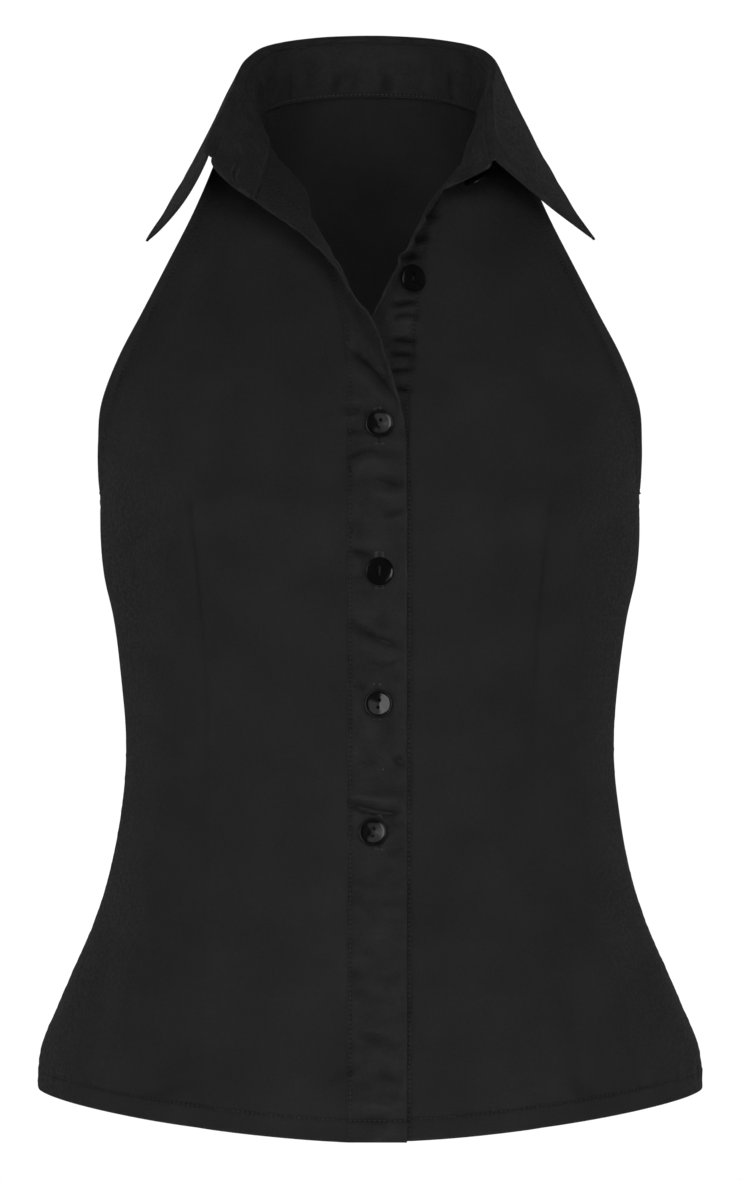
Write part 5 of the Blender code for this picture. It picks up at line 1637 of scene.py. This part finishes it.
# Points of the fold before it turns down: the shares of its rise and of its width.
FOLD_ARC = ((0.0, 0.0), (0.6, 0.1), (1.0, 0.5))
NECK_MIDDLE = np.array((0.0, -1.0, 2.0))
# Soft shapes of the leaf, in centimetres along it from the overlap's end and down from its seam.
FALL_CREASES = (
    (1.0, 1.6, 3.6, 5.6, 0.3, 6.0, 0.5), (3.2, 1.4, 6.2, 4.6, -0.2, 7.0, -0.5),
    (9.0, 1.8, 10.6, 5.6, 0.2, 9.0, 0.5), (16.0, 1.6, 15.4, 4.6, 0.1, 9.0, -0.4),
    (20.6, 1.6, 21.4, 4.8, 0.1, 8.0, 0.4), (26.2, 1.5, 25.8, 5.2, 0.1, 9.0, -0.4),
    (31.2, 1.8, 29.9, 5.4, -0.2, 9.0, 0.5), (35.6, 1.4, 33.4, 4.8, 0.2, 7.0, -0.5),
    (38.3, 1.6, 36.2, 5.8, -0.3, 6.0, 0.5),
)


def fall_surface():
    """Mid surface of the fall: on from the stand's top seam, over the fold and down to its pointed edge."""
    seam_low, place = round_neck(stations[1], stations[-2], FALL_PITCH)
    seam = spline(stations, STAND_TOP, place)
    up = unit(seam - seam_low)
    outward = unit(np.cross(np.gradient(seam, axis=0), up))
    outward = outward * np.sign(np.sum(outward * (seam - NECK_MIDDLE), axis=1))[:, None]
    edge = spline(stations, FALL_EDGE, place)
    rise = up * np.interp(place, stations, FOLD_RISE)[:, None]
    at_end = np.clip(np.minimum(place - stations[1], stations[-2] - place) / FOLD_END, 0, 1)
    taper = FOLD_END_WIDTH + (1 - FOLD_END_WIDTH) * at_end
    width = outward * (np.interp(place, stations, FOLD_WIDTH) * taper)[:, None]
    fold_down = seam + rise * 0.5 + width
    middle = (fold_down + edge) / 2 + spline(stations, FALL_SWELL, place)
    drop = np.linspace(0, 1, FALL_ROWS + 1)[:, None, None]
    falling = (1 - drop) ** 2 * fold_down + 2 * (1 - drop) * drop * middle + drop**2 * edge
    over = [seam + rise * share + width * reach for share, reach in FOLD_ARC]
    rows = np.concatenate([over, falling]) * CM
    at = lengths(rows[:, len(place) // 2])
    steps = np.interp(marks(at[-1], FALL_PITCH, []), at, np.arange(len(at)))
    return spline(np.arange(len(at)), rows, steps)


def collar_fall():
    """The fall's shell."""
    points = fall_surface()
    out = grid_normals(points)
    flat = flat_places(points)
    across = flat[0, :, 0] + np.zeros(flat.shape[:2])
    down = flat[:, :, 1]
    from_edge = distance_to(points, np.concatenate([points[:, 0], points[-1, ::3], points[::-1, -1]]))
    x = across / CM
    y = down / CM
    creased = folds(x, y, FALL_CREASES) + ripple(x, y, FALL_RIPPLE_LENGTH, FALL_RIPPLE, FALL_SEED)
    relief = creased * np.clip(down / FALL_CALM, 0, 1) + rounded_off(from_edge)
    for place, height, width in (EDGE_RIDGE, EDGE_GROOVE):
        relief += height * bump(from_edge - place, width)
    surface = points + out * (FALL_THICK / 2 + relief)[:, :, None]
    fold_worn = FOLD_RUBBED * bump(down - FOLD_RUBBED_AT, FOLD_RUBBED_WIDTH)
    worn = np.maximum(bump(from_edge, RUBBED_WIDTH), fold_worn)
    fields = cloth_fields(surface, [], np.ones(worn.shape), worn, np.zeros(worn.shape))
    piece = cloth_piece("fall_cloth", surface, flat, 1, FALL_THICK, 1.0, fields, collar_black)
    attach(piece, "root")
    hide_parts("collar_fall")


collar_fall()

# ---------------------------------------------------------------------------------------------------------
# Buttons
# Six glossy black polyester buttons, 15 mm across, turned with a raised rim round a dished face. Each is sewn
# on through its two holes with a thread shank; four are done up through the overlap band.
# ---------------------------------------------------------------------------------------------------------
BUTTON_SIDES = 64
# Half section of a button from its back's rim round to the middle of its face: radius and height, in mm.
BUTTON_PROFILE = (
    (4.4, 0.0), (5.6, 0.05), (6.6, 0.3), (7.15, 0.65), (7.45, 1.1), (7.5, 1.5), (7.44, 1.85), (7.28, 2.1),
    (7.08, 2.24), (6.88, 2.28), (6.7, 2.24), (6.5, 2.12), (6.25, 1.98), (5.95, 1.87), (5.5, 1.79), (4.7, 1.7),
    (3.7, 1.59), (2.6, 1.47), (1.4, 1.34), (0.4, 1.24),
)
BUTTON_ANGLE = math.radians(35)
DRILL_SIDES = 20
DRILL_RADIUS = 0.95 * MM
DRILL_DEPTH = 6 * MM
DRILL_SPACING = 3.8 * MM
BUTTON_BLACK = (0.0015, 0.0015, 0.0016)
BUTTON_DUST = (0.003, 0.003, 0.003)
BUTTON_SHINE = 0.8
BUTTON_SMOOTHEST = 0.08
SMEAR_SIZE = 3 * MM
SMEAR_DETAIL = 5.0
SMEAR_HEIGHT = 0.01 * MM
TURNING_PITCH = 0.35 * MM
TURNING_HEIGHT = 0.0006 * MM
# Each button: how far its upper hole leans to the viewer's left, how far it rocks to the left and up on its
# thread, all in degrees, and the length of its shank.
BUTTONS = {
    "button_stand": (20, 0, 0, 1.2), "button_1": (-10, 5, -4, 3.4), "button_2": (-18, -7, -9, 2.6),
    "button_3": (0, -12, 14, 2.6), "button_4": (-12, 5, 17, 2.6), "button_5": (-10, 0, 0, 2.6),
}
BUTTON_LIFT = 0.3 * MM
STRAND_HEIGHT = 1.36 * MM
STRAND_ASIDE = 0.2 * MM
STRAND_CROSS = 0.06
STRAND_SHORT = 0.3 * MM
STRAND_WIDTH = 0.36 * MM
SHANK_STRANDS = 6
SHANK_RADIUS = 0.55 * MM
SHANK_LEAN = 200
SHANK_WIDTH = 0.6
STAND_BUTTON_FACING = Vector((0.47, 0.33, -0.8))


def button_form():
    """A button turned from a circle by one extrusion for each step of its profile, then drilled."""
    bpy.ops.object.select_all(action="DESELECT")
    radius, height = BUTTON_PROFILE[0]
    bpy.ops.mesh.primitive_circle_add(vertices=BUTTON_SIDES, radius=radius * MM, fill_type="NGON")
    button = bpy.context.object
    bpy.ops.object.mode_set(mode="EDIT")
    for next_radius, next_height in BUTTON_PROFILE[1:]:
        step = (0, 0, (next_height - height) * MM)
        bpy.ops.mesh.extrude_region_move(TRANSFORM_OT_translate={"value": step})
        bpy.ops.transform.resize(value=(next_radius / radius, next_radius / radius, 1))
        radius = next_radius
        height = next_height
    bpy.ops.mesh.select_all(action="SELECT")
    bpy.ops.mesh.normals_make_consistent(inside=False)
    bpy.ops.object.mode_set(mode="OBJECT")
    for hand in (-1, 1):
        bpy.ops.object.select_all(action="DESELECT")
        place = (0, hand * DRILL_SPACING / 2, MM)
        bpy.ops.mesh.primitive_cylinder_add(
            vertices=DRILL_SIDES, radius=DRILL_RADIUS, depth=DRILL_DEPTH, location=place
        )
        cut_away(button, bpy.context.object)
    only(button)
    bpy.ops.object.shade_smooth_by_angle(angle=BUTTON_ANGLE)
    turned = button.data.attributes.new("radius", "FLOAT", "POINT")
    far = [math.hypot(v.co.x, v.co.y) for v in button.data.vertices]
    turned.data.foreach_set("value", far)
    return button


def button_material():
    """Polished black polyester with the faintest turning marks, and a little dust."""
    made, tree, gloss = new_material("button_gloss")
    whole = tree.nodes.new("ShaderNodeTexCoord").outputs["Object"]
    turns = calc(tree, "SINE", calc(tree, "MULTIPLY", attribute(tree, "radius"), 2 * math.pi / TURNING_PITCH))
    smear = placed(tree, mottle_group, whole, Size=SMEAR_SIZE, Detail=SMEAR_DETAIL)
    height = calc(tree, "MULTIPLY_ADD", smear, SMEAR_HEIGHT, calc(tree, "MULTIPLY", turns, TURNING_HEIGHT))
    bumped(tree, height, gloss)
    roughness = calc(tree, "MULTIPLY_ADD", smear, BUTTON_SMOOTHEST, BUTTON_SMOOTHEST)
    tree.links.new(roughness, gloss.inputs["Roughness"])
    tree.links.new(blend(tree, smear, BUTTON_BLACK, BUTTON_DUST), gloss.inputs["Base Color"])
    gloss.inputs["Specular IOR Level"].default_value = BUTTON_SHINE
    return made


def fit_button(name, form, lean, left, up, facing):
    """A copy of the button in place of the frame's one, the middle of its back, and its three ways."""
    node = bpy.data.objects[name]
    spots = np.array([tuple(node.matrix_world @ v.co) for v in node.data.vertices])
    middle = spots.mean(axis=0)
    # The button is flat, so its axis is the way in which its points spread least.
    out = np.linalg.svd(spots - middle)[2][2]
    out = out * np.sign(np.dot(out, facing))
    depth = (spots - middle) @ out
    base = middle + out * (depth.min() + BUTTON_LIFT)
    out = unit(out + np.array((-math.tan(math.radians(left)), 0, math.tan(math.radians(up)))))
    rise = unit(np.array((0.0, 0.0, 1.0)) - out * out[2])
    side = np.cross(rise, out)
    turn = math.radians(lean)
    ways = np.array((
        side * math.cos(turn) + rise * math.sin(turn), rise * math.cos(turn) - side * math.sin(turn), out
    ))
    copy = form.copy()
    copy.data = form.data.copy()
    copy.name = name + "_turned"
    copy.data.name = copy.name
    bpy.context.scene.collection.objects.link(copy)
    copy.data.transform(Matrix.Translation(Vector(base)) @ Matrix(ways.tolist()).transposed().to_4x4())
    return copy, base, ways


def button_threads(base, ways, shank):
    """Two strands through the two holes over the button's face, and a shank of strands behind it."""
    side, up, out = ways
    made = []
    for hand in (-1, 1):
        middle = base + out * STRAND_HEIGHT + side * hand * STRAND_ASIDE
        way = up + side * STRAND_CROSS * hand
        made.append((middle, way, out, DRILL_SPACING - STRAND_SHORT, STRAND_WIDTH))
    for k in range(SHANK_STRANDS):
        turn = k * 2 * math.pi / SHANK_STRANDS
        aside = (side * math.cos(turn) + up * math.sin(turn)) * SHANK_RADIUS
        middle = base - out * (shank / 2 - SHANK_WIDTH) * MM + aside
        way = out + aside * SHANK_LEAN * (-1) ** k
        made.append((middle, way, side, (shank + 2 * SHANK_WIDTH) * MM, SHANK_WIDTH * MM))
    return made


form = button_form()
form.data.materials.append(button_material())
threads = []
for name, (lean, left, up, shank) in BUTTONS.items():
    facing = STAND_BUTTON_FACING if name == "button_stand" else Vector((0, -1, 0))
    button, base, ways = fit_button(name, form, lean, left, up, np.array(facing))
    threads += button_threads(base, ways, shank)
    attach(button, "root")
    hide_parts(name)
bpy.data.objects.remove(form)
sew("button_threads", threads, thread_black)
